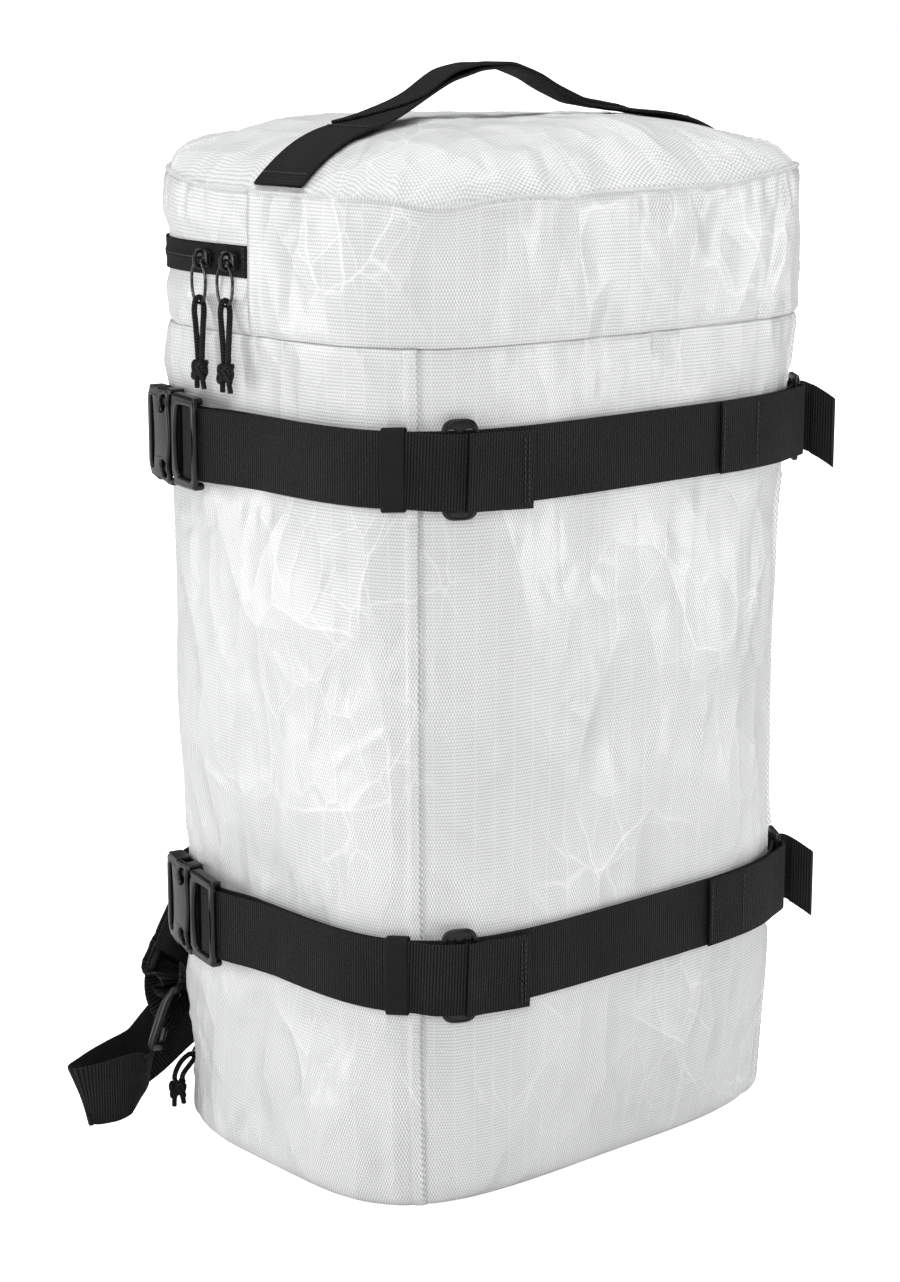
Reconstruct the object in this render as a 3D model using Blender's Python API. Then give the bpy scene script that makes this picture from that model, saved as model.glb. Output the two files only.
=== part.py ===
"""Tall soft-sided pack sack with a zipped lid, two buckled compression belts, a grab
handle and two shoulder straps.

Metres, +Z up.  The origin is the centre of the base, the wide front faces -Y, and the
buckles and the closed end of the lid zip are on the -X side.  Each object is one sewn or
moulded piece.
"""
import math

import bmesh
import bpy
import numpy as np
from mathutils import Matrix, Vector

# ---------------------------------------------------------------- driving dimensions
SEAM_Z = 0.522          # the seam round the top
BAND_Z = 0.4506         # the seam between the walls and the band under the lid
CROWN = 0.034           # how far the top domes above its seam
CROWN_POWER = 5.0       # higher is steeper at the rim and flatter in the middle
WALL = 0.0025           # thickness of a padded, laminated panel
BASE = 0.004            # thickness of the base panel
BASE_ROUND = 0.012      # radius round the lower edge
GAP = 0.0004            # clearance between pieces that touch
SPLIT_Y = -0.005        # the line that the lid folds on, just behind the handle

# The section is a squared oval: its full width and depth at six heights.
LEVELS = (0.0, 0.108, 0.158, 0.412, 0.455, 0.522)
WIDTHS = (0.306, 0.295, 0.295, 0.307, 0.316, 0.316)
DEPTHS = (0.221, 0.243, 0.243, 0.245, 0.248, 0.248)
SQUARENESS = 4.0
CORNER = 37.8           # degrees from the X axis to a corner seam

WEB = 0.038             # webbing width
WEB_T = 0.0016          # webbing thickness
BELTS = {"upper": 0.392, "lower": 0.1326}    # height of each belt's middle
LAYER_1 = 0.0032        # belt centreline off the wall, the layer next to the sack
LAYER_2 = 0.0054        # the layer over it

ZIP_Z = 0.487           # middle of the lid zip
TAPE = 0.0080           # width of each tape outside the teeth
TAPE_T = 0.0010
CORD_D = 0.0030
WIRE = 0.0008           # radius of a pull ring's wire

COLOURS = {
    "sailcloth": ((0.86, 0.87, 0.87), 0.45, 0.0),
    "webbing": ((0.012, 0.012, 0.013), 0.75, 0.0),
    "moulding": ((0.015, 0.015, 0.017), 0.35, 0.0),
    "tape": ((0.014, 0.014, 0.015), 0.7, 0.0),
    "wire": ((0.05, 0.05, 0.055), 0.3, 0.8),
    "cord": ((0.012, 0.012, 0.013), 0.8, 0.0),
}


# ---------------------------------------------------------------- building blocks
def clear_scene():
    for item in list(bpy.data.objects):
        bpy.data.objects.remove(item, do_unlink=True)


def material(name):
    found = bpy.data.materials.get(name)
    if found:
        return found
    colour, roughness, metallic = COLOURS[name]
    made = bpy.data.materials.new(name)
    made.use_nodes = True
    shader = made.node_tree.nodes["Principled BSDF"]
    shader.inputs["Base Color"].default_value = (*colour, 1.0)
    shader.inputs["Roughness"].default_value = roughness
    shader.inputs["Metallic"].default_value = metallic
    return made


def add_object(name, mesh, slot):
    made = bpy.data.objects.new(name, mesh)
    bpy.context.collection.objects.link(made)
    if slot:
        mesh.materials.append(material(slot))
    return made


def finish_mesh(name, bm, slot, smooth=True):
    """One closed body from a bmesh, its faces pointing out."""
    bmesh.ops.remove_doubles(bm, verts=bm.verts, dist=1e-6)
    bmesh.ops.recalc_face_normals(bm, faces=bm.faces)
    mesh = bpy.data.meshes.new(name)
    bm.to_mesh(mesh)
    bm.free()
    if smooth:
        mesh.shade_smooth()
        mesh.set_sharp_from_angle(angle=math.radians(35))
    return add_object(name, mesh, slot)


def grid_solid(name, outer, inner, slot, pole=False, wrap=False):
    """The closed solid between two grids of points with the same rows and columns.

    pole says that the first row is a single point; wrap joins the last column to the first.
    """
    bm = bmesh.new()
    skins = [[[bm.verts.new(p) for p in row] for row in grid] for grid in (outer, inner)]
    rows = len(outer)
    columns = len(outer[0])
    steps = columns if wrap else columns - 1
    for skin in skins:
        for i in range(rows - 1):
            for j in range(steps):
                k = (j + 1) % columns
                quad = [skin[i][j], skin[i][k], skin[i + 1][k], skin[i + 1][j]]
                if i == 0 and pole:
                    quad = [skin[0][0], skin[1][k], skin[1][j]]
                bm.faces.new(quad)
    over, under = skins
    for i in ([rows - 1] if pole else [0, rows - 1]):
        for j in range(steps):
            k = (j + 1) % columns
            bm.faces.new([over[i][j], over[i][k], under[i][k], under[i][j]])
    if not wrap:
        for j in (0, columns - 1):
            for i in range(rows - 1):
                near = 0 if i == 0 and pole else j
                bm.faces.new([over[i][near], over[i + 1][j], under[i + 1][j], under[i][near]])
    for vert in [v for v in bm.verts if not v.link_faces]:
        bm.verts.remove(vert)
    finish_mesh(name, bm, slot)


def loft(name, rings, slot, closed=False):
    """A solid through rings of points, with flat ends unless it closes on itself."""
    bm = bmesh.new()
    loops = [[bm.verts.new(p) for p in ring] for ring in rings]
    count = len(rings[0])
    for i in range(len(loops) if closed else len(loops) - 1):
        a = loops[i]
        b = loops[(i + 1) % len(loops)]
        for j in range(count):
            k = (j + 1) % count
            bm.faces.new([a[j], a[k], b[k], b[j]])
    if not closed:
        bm.faces.new(loops[0])
        bm.faces.new(loops[-1])
    finish_mesh(name, bm, slot)


def smooth_path(points, per_span):
    """A smooth curve through hand-placed points, per_span steps between each pair."""
    given = [Vector(p) for p in points]
    ends = [2 * given[0] - given[1]] + given + [2 * given[-1] - given[-2]]
    path = []
    for i in range(1, len(ends) - 2):
        a, b, c, d = ends[i - 1], ends[i], ends[i + 1], ends[i + 2]
        for step in range(per_span):
            t = step / per_span
            path.append(0.5 * (2 * b + (c - a) * t + (2 * a - 5 * b + 4 * c - d) * t * t
                               + (3 * b - a - 3 * c + d) * t ** 3))
    path.append(given[-1])
    return path


def strap(name, plan, z):
    """Upright webbing centred on a height: a plan-view path given thickness and width."""
    count = len(plan)
    sides = [[], []]
    for i, point in enumerate(plan):
        along = (plan[min(i + 1, count - 1)] - plan[max(i - 1, 0)]).normalized()
        normal = Vector((-along.y, along.x))
        for side, sign in zip(sides, (1, -1)):
            side.append(Vector(point[:2]) + normal * sign * WEB_T / 2)
    edges = (z - WEB / 2, z + WEB / 2)
    grids = [[[(p.x, p.y, edge) for p in side] for edge in edges] for side in sides]
    grid_solid(name, grids[0], grids[1], "webbing")


def ribbon(name, path, across, widths, thickness):
    """Webbing along a 3-D path; across gives its width direction at each point."""
    rings = []
    count = len(path)
    for i, point in enumerate(path):
        along = (path[min(i + 1, count - 1)] - path[max(i - 1, 0)]).normalized()
        wide = (across[i] - along * across[i].dot(along)).normalized() * widths[i] / 2
        thick = along.cross(wide).normalized() * thickness / 2
        rings.append([point + wide + thick, point - wide + thick,
                      point - wide - thick, point + wide - thick])
    loft(name, rings, "webbing")


def cuboid(name, place, low, high, slot):
    """A box between two corners of a local frame."""
    bm = bmesh.new()
    bmesh.ops.create_cube(bm, size=1.0)
    size = Vector(high) - Vector(low)
    middle = (Vector(high) + Vector(low)) / 2
    bmesh.ops.scale(bm, vec=size, verts=bm.verts)
    bmesh.ops.translate(bm, vec=middle, verts=bm.verts)
    made = finish_mesh(name, bm, slot, smooth=False)
    made.matrix_world = place
    return made


def combine(target, place, boxes, operation):
    """Cut boxes out of a piece, or add them to it."""
    for number, (low, high) in enumerate(boxes):
        tool = cuboid(f"{target.name}_{operation.lower()}_{number}", place, low, high, None)
        tool.hide_render = True
        tool.display_type = "WIRE"
        step = target.modifiers.new(tool.name, "BOOLEAN")
        step.operation = operation
        step.object = tool


# ---------------------------------------------------------------- the sack's section
def half_size(z):
    return (float(np.interp(z, LEVELS, WIDTHS)) / 2, float(np.interp(z, LEVELS, DEPTHS)) / 2)


def wall_point(degrees, z, out=0.0):
    """A point of the outer surface, out metres proud of it."""
    a, b = half_size(z)
    if z < BASE_ROUND:
        out -= BASE_ROUND - math.sqrt(BASE_ROUND ** 2 - (BASE_ROUND - z) ** 2)
    a += out
    b += out
    c = math.cos(math.radians(degrees))
    s = math.sin(math.radians(degrees))
    reach = (abs(c / a) ** SQUARENESS + abs(s / b) ** SQUARENESS) ** (-1 / SQUARENESS)
    return Vector((reach * c, reach * s, z))


def side_x(y, z, out=0.0):
    """How far the side wall is from the middle at a given y."""
    a, b = half_size(z)
    return (a + out) * (1 - abs(y / (b + out)) ** SQUARENESS) ** (1 / SQUARENESS)


def bearing(x, y):
    return math.degrees(math.atan2(y, x)) % 360


def span(start, end, count):
    return [float(v) for v in np.linspace(start, end, count)]


def wall_panel(name, start, end, heights, columns=14, out=0.0, thickness=WALL,
               slot="sailcloth"):
    """A curved strip of the sack's wall between two bearings."""
    bearings = span(start, end, columns)
    grids = [[[wall_point(d, z, o) for d in bearings] for z in heights]
             for o in (out, out - thickness)]
    return grid_solid(name, grids[0], grids[1], slot)


def crown_z(x, y):
    a, b = half_size(SEAM_Z)
    rim = (abs(x / a) ** SQUARENESS + abs(y / b) ** SQUARENESS) ** (1 / SQUARENESS)
    return SEAM_Z + CROWN * (1 - min(rim, 1.0) ** CROWN_POWER)


def floor_row(share, z):
    """Points round the base at one height, drawn in towards the middle."""
    row = []
    for degrees in span(0, 360, 37)[:-1]:
        edge = wall_point(degrees, z) * share
        row.append(Vector((edge.x, edge.y, z)))
    return row


def body():
    """The walls, the base, the band and the domed top, cut where they are sewn or fold."""
    heights = [BASE + GAP, 0.008, BASE_ROUND, 0.05, *LEVELS[1:4], BAND_Z - GAP / 2]
    slit = 0.08                             # degrees left open at each corner seam
    corners = {"right_panel": (-CORNER, CORNER), "back_panel": (CORNER, 180 - CORNER),
               "left_panel": (180 - CORNER, 180 + CORNER),
               "front_panel": (180 + CORNER, 360 - CORNER)}
    for name, (start, end) in corners.items():
        wall_panel(name, start + slit, end - slit, heights)

    shares = span(0.0, 1.0, 4)
    under = [floor_row(share, 0.0) for share in shares]
    over = [floor_row(share, BASE) for share in shares]
    grid_solid("bottom_panel", under, over, "sailcloth", pole=True, wrap=True)

    band_top = SEAM_Z - WALL - GAP
    a, _ = half_size(ZIP_Z)
    left = bearing(-a, SPLIT_Y - GAP)
    right = bearing(a, SPLIT_Y - GAP)
    wall_panel("band_front", left, right, [BAND_Z + GAP / 2, ZIP_Z, band_top], columns=30)
    start = bearing(a, SPLIT_Y + GAP) - 360
    end = bearing(-a, SPLIT_Y + GAP)
    wall_panel("band_rear", start, end, [BAND_Z + GAP / 2, ZIP_Z - GAP], columns=30)
    wall_panel("lid_band", start, end, [ZIP_Z + GAP, band_top], columns=30)

    for name, first, last, edge in (("top_panel_front", left, right, SPLIT_Y - GAP),
                                    ("top_panel_rear", start, end, SPLIT_Y + GAP)):
        outer = []
        for share in (0.0, 0.45, 0.65, 0.78, 0.87, 0.94, 1.0):
            row = []
            for degrees in span(first, last, 25):
                rim = wall_point(degrees, SEAM_Z)
                x = rim.x * share
                y = edge + (rim.y - edge) * share
                row.append(Vector((x, y, crown_z(x, y))))
            outer.append(row)
        inner = [[point - Vector((0, 0, WALL)) for point in row] for row in outer]
        grid_solid(name, outer, inner, "sailcloth", pole=True)


# ---------------------------------------------------------------- handle
HANDLE_Y = -0.027
HANDLE_FOOT_X = 0.1570
HANDLE_CLEAR = 0.0021       # the webbing's middle off the cloth where it lies on the top
GRIP = [(-0.1300, 0.5440), (-0.1112, 0.5508), (-0.0899, 0.5583), (-0.0735, 0.5641),
        (-0.0529, 0.5742), (-0.0312, 0.5799), (-0.0113, 0.5812), (0.0069, 0.5763),
        (0.0212, 0.5694), (0.0393, 0.5623), (0.0585, 0.5592), (0.0700, 0.5580)]


def handle():
    """Webbing from one side seam over the top to the other: it lies on the top near its feet
    and stands up, pinched, as a grip."""
    path = []
    widths = []
    for share in span(-1.0, 1.0, 41):
        x = HANDLE_FOOT_X * math.sin(share * math.pi / 2)
        slope = (crown_z(x + 0.001, HANDLE_Y) - crown_z(x - 0.001, HANDLE_Y)) / 0.002
        z = crown_z(x, HANDLE_Y) + HANDLE_CLEAR * math.hypot(1, min(abs(slope), 1.2))
        if GRIP[0][0] < x < GRIP[-1][0]:
            z = max(z, float(np.interp(x, [row[0] for row in GRIP], [row[1] for row in GRIP])))
        path.append(Vector((x, HANDLE_Y, z)))
        widths.append(WEB - 0.014 * max(0.0, 1 - abs((x + 0.015) / 0.075) ** 2))
    ribbon("handle", path, [Vector((0, 1, 0))] * len(path), widths, WEB_T)


# ---------------------------------------------------------------- zips and pulls
FRONT_SLIDER_Y = 0.008
REAR_SLIDER_Y = 0.030
REAR_SLIDER_TILT = 4.0      # degrees that the side wall has turned by there
BASE_ZIP_Z = 0.026
BASE_SLIDER = (-0.098, 8.5)  # x of the slider and degrees that the back wall has turned by
TAPE_OUT = GAP + TAPE_T      # outer face of the tape off the wall
SLIDER_IN = 0.0024           # inner and outer faces of a slider's body off the wall
SLIDER_OUT = 0.0048
PIVOT_OUT = 0.0062           # the ring's wire under the slider's bridge
RING_DROP = 0.0224           # top wire to bottom wire
RING_HALF = 0.0065
KNOT_TOP = -0.0510           # the knot's ends below the slider
KNOT_END = -0.0660


def frame_at(point, tangent_degrees):
    """A local frame on a wall: X along the wall, Y straight out of it, Z up."""
    turn = math.radians(tangent_degrees)
    along = Vector((math.cos(turn), math.sin(turn), 0))
    out = Vector((-along.y, along.x, 0))
    up = Vector((0, 0, 1))
    place = Matrix((along, out, up)).transposed().to_4x4()
    place.translation = point
    return place


def zips():
    a, _ = half_size(ZIP_Z)
    start = bearing(a, SPLIT_Y + 0.0015) - 360
    end = bearing(-a, SPLIT_Y + 0.0015)
    gap = 0.0003
    for name, low, high in (("zip_tape_lower", ZIP_Z - TAPE, ZIP_Z - gap),
                            ("zip_tape_upper", ZIP_Z + gap, ZIP_Z + TAPE)):
        wall_panel(name, start, end, [low, high], columns=36, out=TAPE_OUT,
                   thickness=TAPE_T, slot="tape")
    edge = bearing(0.108, 0.0985)
    wall_panel("base_zip_tape", edge, 180 - edge, [BASE_ZIP_Z - TAPE, BASE_ZIP_Z + TAPE],
               columns=20, out=TAPE_OUT, thickness=TAPE_T, slot="tape")


def slider(name, place, bridge):
    """A zip slider: its body, and in the frame bridge the arch that the ring's wire runs under."""
    made = cuboid(name, place, (-0.006, SLIDER_IN, -0.0045), (0.006, SLIDER_OUT, 0.0045),
                  "moulding")
    top = 0.0087
    posts = [((-0.0015, SLIDER_OUT - 0.001, side * 0.0034 - 0.0008),
              (0.0015, top, side * 0.0034 + 0.0008)) for side in (-1, 1)]
    bar = ((-0.0015, 0.0075, -0.0042), (0.0015, top, 0.0042))
    combine(made, bridge, posts + [bar], "UNION")


def ring(name, place):
    """The wire loop that hangs from a slider."""
    rings = []
    steps = 20
    for i in range(steps):
        turn = 2 * math.pi * i / steps
        middle = Vector((RING_HALF * math.cos(turn), PIVOT_OUT,
                         (math.sin(turn) - 1) * RING_DROP / 2))
        out = Vector((RING_DROP * math.cos(turn), 0, RING_HALF * 2 * math.sin(turn))).normalized()
        circle = []
        for j in range(6):
            angle = 2 * math.pi * j / 6
            offset = math.cos(angle) * out + math.sin(angle) * Vector((0, 1, 0))
            circle.append(place @ (middle + WIRE * offset))
        rings.append(circle)
    loft(name, rings, "wire", closed=True)


# The pull cord's route in its slider's frame: up from the knot, over the ring's bottom
# wire and back down beside itself.
PULL_ROUTE = [
    (0.0018, 0.0062, KNOT_TOP + 0.0003), (0.0018, 0.0064, -0.046), (0.0018, 0.0068, -0.040),
    (0.0015, 0.0075, -0.033), (0.0008, 0.0085, -0.027), (0.0, 0.00885, -0.0235),
    (0.0, 0.0080, -0.0204), (0.0, 0.0062, -0.0194), (0.0, 0.0044, -0.0204),
    (0.0, 0.00355, -0.0235), (-0.0008, 0.0039, -0.027), (-0.0015, 0.0049, -0.033),
    (-0.0018, 0.0056, -0.040), (-0.0018, 0.0060, -0.046), (-0.0018, 0.0062, KNOT_TOP + 0.0003),
]


def cord(name, points):
    """A round cord as a curve with a bevel, through hand-placed points."""
    path = smooth_path(points, 3)
    data = bpy.data.curves.new(name, "CURVE")
    data.dimensions = "3D"
    data.bevel_depth = CORD_D / 2
    data.bevel_resolution = 2
    data.use_fill_caps = True
    spline = data.splines.new("POLY")
    spline.points.add(len(path) - 1)
    for target, point in zip(spline.points, path):
        target.co = (*point, 1.0)
    made = bpy.data.objects.new(name, data)
    bpy.context.collection.objects.link(made)
    data.materials.append(material("cord"))


def knot(name, middle, place, top=KNOT_TOP, end=KNOT_END):
    """An overhand knot's outer shape, with its two short tails, as one turned solid."""
    profile = [(0.0, 0.0040), (0.10, 0.0051), (0.32, 0.0056), (0.55, 0.0050),
               (0.66, 0.0034), (0.95, 0.0032), (1.0, 0.0022)]
    rings = []
    for share, radius in profile:
        circle = []
        for k in range(12):
            angle = 2 * math.pi * k / 12
            circle.append(place @ Vector((middle[0] + radius * math.cos(angle),
                                          middle[1] + 0.8 * radius * math.sin(angle),
                                          top + (end - top) * share)))
        rings.append(circle)
    loft(name, rings, "cord")


def lid_pulls():
    for name, y, tilt in (("front", FRONT_SLIDER_Y, 0.0),
                          ("rear", REAR_SLIDER_Y, REAR_SLIDER_TILT)):
        place = frame_at(Vector((-side_x(y, ZIP_Z), y, ZIP_Z)), 90 - tilt)
        slider(f"{name}_slider", place, place)
        ring(f"{name}_ring", place)
        cord(f"{name}_pull_cord", [place @ Vector(p) for p in PULL_ROUTE])
        knot(f"{name}_pull_knot", (0.0, 0.0062), place)


# The base pull lies round the corner of the sack: its route in the row frame.
BASE_ROUTE = [
    (-0.1400, 0.1020, 0.0188), (-0.1399, 0.1022, 0.0202), (-0.1383, 0.1037, 0.0216),
    (-0.1345, 0.1070, 0.0228), (-0.1290, 0.1105, 0.0246), (-0.1226, 0.1128, 0.0260),
    (-0.1195, 0.1124, 0.0260), (-0.1183, 0.1107, 0.0260), (-0.1189, 0.1088, 0.0260),
    (-0.1218, 0.1075, 0.0255), (-0.1275, 0.1045, 0.0238), (-0.1330, 0.1016, 0.0222),
    (-0.1360, 0.0997, 0.0211), (-0.1369, 0.0989, 0.0200), (-0.1370, 0.0988, 0.0188),
]


def base_pull():
    """The pull of the low back zip: it lies along the wall and falls round the corner."""
    x, tilt = BASE_SLIDER
    wide, deep = half_size(BASE_ZIP_Z)
    y = deep * (1 - abs(x / wide) ** SQUARENESS) ** (1 / SQUARENESS)
    place = frame_at(Vector((x, y, BASE_ZIP_Z)), tilt)
    sideways = place @ Matrix.Rotation(math.radians(90), 4, "Y")
    slider("base_slider", place, sideways)
    ring("base_ring", sideways)
    cord("base_pull_cord", BASE_ROUTE)
    knot("base_pull_knot", (-0.1385, 0.1004), Matrix.Identity(4), top=0.0185, end=0.0035)


# ---------------------------------------------------------------- belts
BUCKLE_Y = 0.062
BUCKLE_TILT = 12.0
MALE_BAR = (-0.0175, 0.0061)  # the male half's webbing bar in the buckle's frame
REAR_BAR = (0.0325, 0.0068)  # the female half's webbing bar
TRIGLIDE = 224.3             # bearings of the pieces along a belt
KEEPER = (212.1, 216.2)
HEM = (227.0, 238.5)
OVERLAY_START = 293.0
SIDE_LOCK = 326.0
TAIL_LINE = [(0.0045, 0.0100), (0.0078, 0.0130), (0.0080, 0.0165), (0.0056, 0.0200),
             (0.0028, 0.0238), (0.0006, 0.0276)]
TAIL_DROOP = 0.0085


def buckle_frame(z):
    return frame_at(Vector((-side_x(BUCKLE_Y, z), BUCKLE_Y, z)), 90 - BUCKLE_TILT)


def lock_frame(z):
    """The frame of the ladder lock on the right front corner; X runs towards the back."""
    here = wall_point(SIDE_LOCK, z)
    near = wall_point(SIDE_LOCK - 1, z)
    far = wall_point(SIDE_LOCK + 1, z)
    turn = math.degrees(math.atan2(far.y - near.y, far.x - near.x))
    place = frame_at(here, turn)
    return place @ Matrix.Rotation(math.pi, 4, "X")


def flat(place, points):
    return [(place @ Vector((u, w, 0))).to_2d() for u, w in points]


def u_turn(centre, radius, start, end, steps=6):
    """Points of an arc in a local frame, for webbing turning round a bar."""
    return [(centre[0] + radius * math.cos(math.radians(d)),
             centre[1] + radius * math.sin(math.radians(d))) for d in span(start, end, steps)]


def on_wall(bearings, z, out):
    return [wall_point(d, z, out).to_2d() for d in bearings]


def belt_webbing(name, z):
    """The long webbing: sewn back round the side lock, along the front, round the male
    half's bar and back over itself to a folded hem beyond the triglide."""
    buckle = buckle_frame(z)
    lock = lock_frame(z)
    over = LAYER_2 + 0.0002
    plan = on_wall(span(OVERLAY_START, 316, 6), z, over)
    plan += flat(lock, [(-0.0165, 0.0076), (-0.0125, 0.0090)])
    plan += flat(lock, u_turn((-0.0090, 0.0062), 0.0030, 90, -90, 7))
    plan += on_wall(span(316, 238, 16), z, LAYER_1)
    plan += on_wall(span(232, 180, 12), z, LAYER_1)
    plan += on_wall([176], z, LAYER_1) + on_wall([172], z, 0.0045)
    plan += flat(buckle, [(-0.029, 0.0031)])
    plan += flat(buckle, u_turn(MALE_BAR, 0.0030, -90, 90, 7))
    plan += flat(buckle, [(-0.029, 0.0091)])
    plan += on_wall([172.5], z, 0.0105) + on_wall([177], z, 0.0078)
    plan += on_wall(span(184, KEEPER[1] + 1, 8), z, LAYER_2)
    plan += on_wall([TRIGLIDE - 3.6, TRIGLIDE, TRIGLIDE + 3.4], z, LAYER_2 + 0.0022)
    plan += on_wall(span(HEM[0] + 3.5, HEM[1], 4), z, LAYER_2 + 0.0002)
    strap(name, plan, z)


def ring_round(name, z, bearings, low_out, high_out, height, thickness):
    """A band round the belt's layers: a rectangular ring swept along the wall."""
    rings = []
    for degrees in bearings:
        out = (wall_point(degrees, z, 0.01) - wall_point(degrees, z)).normalized()
        base = wall_point(degrees, z)
        pair = []
        for shrink in (0.0, thickness):
            near = base + out * (low_out + shrink)
            far = base + out * (high_out - shrink)
            rise = Vector((0, 0, height / 2 - shrink))
            pair.append([near - rise, far - rise, far + rise, near + rise])
        rings.append(pair)
    outer = [pair[0] for pair in rings]
    inner = [pair[1] for pair in rings]
    grid_solid(name, outer, inner, "webbing", wrap=True)


def frame_plate(name, place, low, high, windows):
    """A flat moulded frame with rectangular windows cut through it."""
    combine(cuboid(name, place, low, high, "moulding"), place, windows, "DIFFERENCE")


def belt(label, z):
    buckle = buckle_frame(z)
    lock = lock_frame(z)
    half = WEB / 2
    window = half + 0.0010
    belt_webbing(f"{label}_belt_webbing", z)
    ring_round(f"{label}_keeper", z, span(*KEEPER, 4), 0.0010, 0.0082, WEB + 0.0036, 0.0010)

    # The triglide lies between the two layers of webbing.
    here = wall_point(TRIGLIDE, z)
    near = wall_point(TRIGLIDE - 1, z)
    far = wall_point(TRIGLIDE + 1, z)
    turn = math.degrees(math.atan2(far.y - near.y, far.x - near.x))
    glide = frame_at(here, turn) @ Matrix.Rotation(math.pi, 4, "X")
    frame_plate(f"{label}_triglide", glide, (-0.0095, 0.0046, -0.0250), (0.0095, 0.0060, 0.0250),
                [((-0.0065, 0, -window), (-0.002, 0.01, window)),
                 ((0.002, 0, -window), (0.0065, 0.01, window))])

    # Male half: end bar over the webbing, webbing bar, crosspiece, centre blade and prongs.
    reach = half + 0.0006
    male = cuboid(f"{label}_buckle_male", buckle, (-0.0350, 0.0050, -0.0245),
                  (-0.0046, 0.0124, 0.0245), "moulding")
    combine(male, buckle, [((-0.0400, 0.0, -reach), (-0.0195, 0.0103, reach)),
                           ((-0.0310, 0.0072, -reach), (-0.0110, 0.0200, reach)),
                           ((-0.0165, 0.0, -reach), (-0.0110, 0.0200, reach))], "DIFFERENCE")
    prongs = [((-0.0060, 0.0055, side * 0.0145 - 0.0025),
               (0.0170, 0.0095, side * 0.0145 + 0.0025)) for side in (-1, 1)]
    blade = ((-0.0060, 0.0060, -0.0025), (0.0200, 0.0090, 0.0025))
    combine(male, buckle, prongs + [blade], "UNION")

    # Female half: a hollow box open at its mouth, with side windows and a webbing slot.
    female = cuboid(f"{label}_buckle_female", buckle, (-0.0042, 0.0016, -0.0255),
                    (0.0350, 0.0126, 0.0255), "moulding")
    combine(female, buckle, [((-0.010, 0.0036, -0.0215), (0.0225, 0.0106, 0.0215)),
                             ((0.0060, 0.0036, -0.0300), (0.0180, 0.0106, 0.0300)),
                             ((0.0250, -0.001, -reach), (0.0305, 0.0200, reach)),
                             ((0.0260, -0.001, -reach), (0.0400, 0.0052, reach)),
                             ((0.0260, 0.0085, -reach), (0.0400, 0.0200, reach))], "DIFFERENCE")

    # Short webbing that anchors the female half to the back seam.
    plan = flat(buckle, [(0.0440, 0.0092), (0.0380, 0.0102)])
    plan += flat(buckle, u_turn(REAR_BAR, 0.0036, 110, 250, 7))
    plan += flat(buckle, [(0.0370, 0.0036), (0.0430, 0.0020)])
    plan += on_wall([131, 128, 124], z, LAYER_1 + 0.0006)
    strap(f"{label}_belt_anchor", plan, z)

    # Ladder lock on the right front corner, and the side webbing that threads it.
    frame_plate(f"{label}_side_lock", lock, (-0.0105, 0.0050, -0.0235), (0.0110, 0.0074, 0.0235),
                [((-0.0075, 0, -window), (-0.0022, 0.02, window)),
                 ((0.0018, 0, -window), (0.0075, 0.02, window))])
    plan = flat(lock, [(0.0046, 0.0058), (0.0060, 0.0040), (0.0100, 0.0028)])
    plan += on_wall(span(336, 360, 6), z, LAYER_1)
    plan += on_wall(span(6, CORNER + 2, 8), z, LAYER_1)
    strap(f"{label}_side_webbing", plan, z)
    tail(label, z)


def tail(label, z):
    """The free end of the side webbing, standing away from the corner with its hem."""
    lock = lock_frame(z)
    path = smooth_path([lock @ Vector((u, w, 0)) for u, w in TAIL_LINE], 3)
    for i, point in enumerate(path):
        point.z = z - TAIL_DROOP * (i / (len(path) - 1)) ** 1.5
    ribbon(f"{label}_belt_tail", path, [Vector((0, 0, 1))] * len(path), [WEB] * len(path),
           2 * WEB_T)


# ---------------------------------------------------------------- shoulder straps
STRAP_LINE = [(0.050, 0.1310, 0.432), (0.054, 0.1315, 0.390), (0.062, 0.1318, 0.310),
              (0.071, 0.1320, 0.220), (0.0775, 0.1318, 0.160), (0.0950, 0.1290, 0.120),
              (0.1125, 0.1245, 0.0985), (0.1262, 0.1203, 0.0815)]
STRAP_TWIST = [0, 0, 0, 0, 2, 6, 10, 12]
STRAP_WIDTHS = [0.048, 0.052, 0.054, 0.052, 0.047, 0.041, 0.038, 0.038]
STRAP_T = 0.0060
LOCK_TOP = (0.1295, 0.1090, 0.0700)
LOCK_END = (0.1478, 0.1090, 0.0362)
LOCK_HALF = 0.0215
LOCK_ACROSS = (0.77, 0.64)     # the way that the lock's bars run, towards the back
LOOP_LINE = [(0.1000, 0.1142, 0.0525), (0.1180, 0.1270, 0.0430), (0.1400, 0.1330, 0.0260),
             (0.1650, 0.1300, 0.0210), (0.1860, 0.1200, 0.0205), (0.1965, 0.1120, 0.0210),
             (0.1925, 0.1060, 0.0218), (0.1800, 0.1030, 0.0222), (0.1680, 0.1040, 0.0226),
             (0.1585, 0.1065, 0.0240), (0.1515, 0.1086, 0.0292)]
LOOP_TWIST = [0, 0, 0, 0, 0, 0, 0, 0.02, 0.25, 0.7, 1.0]


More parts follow.
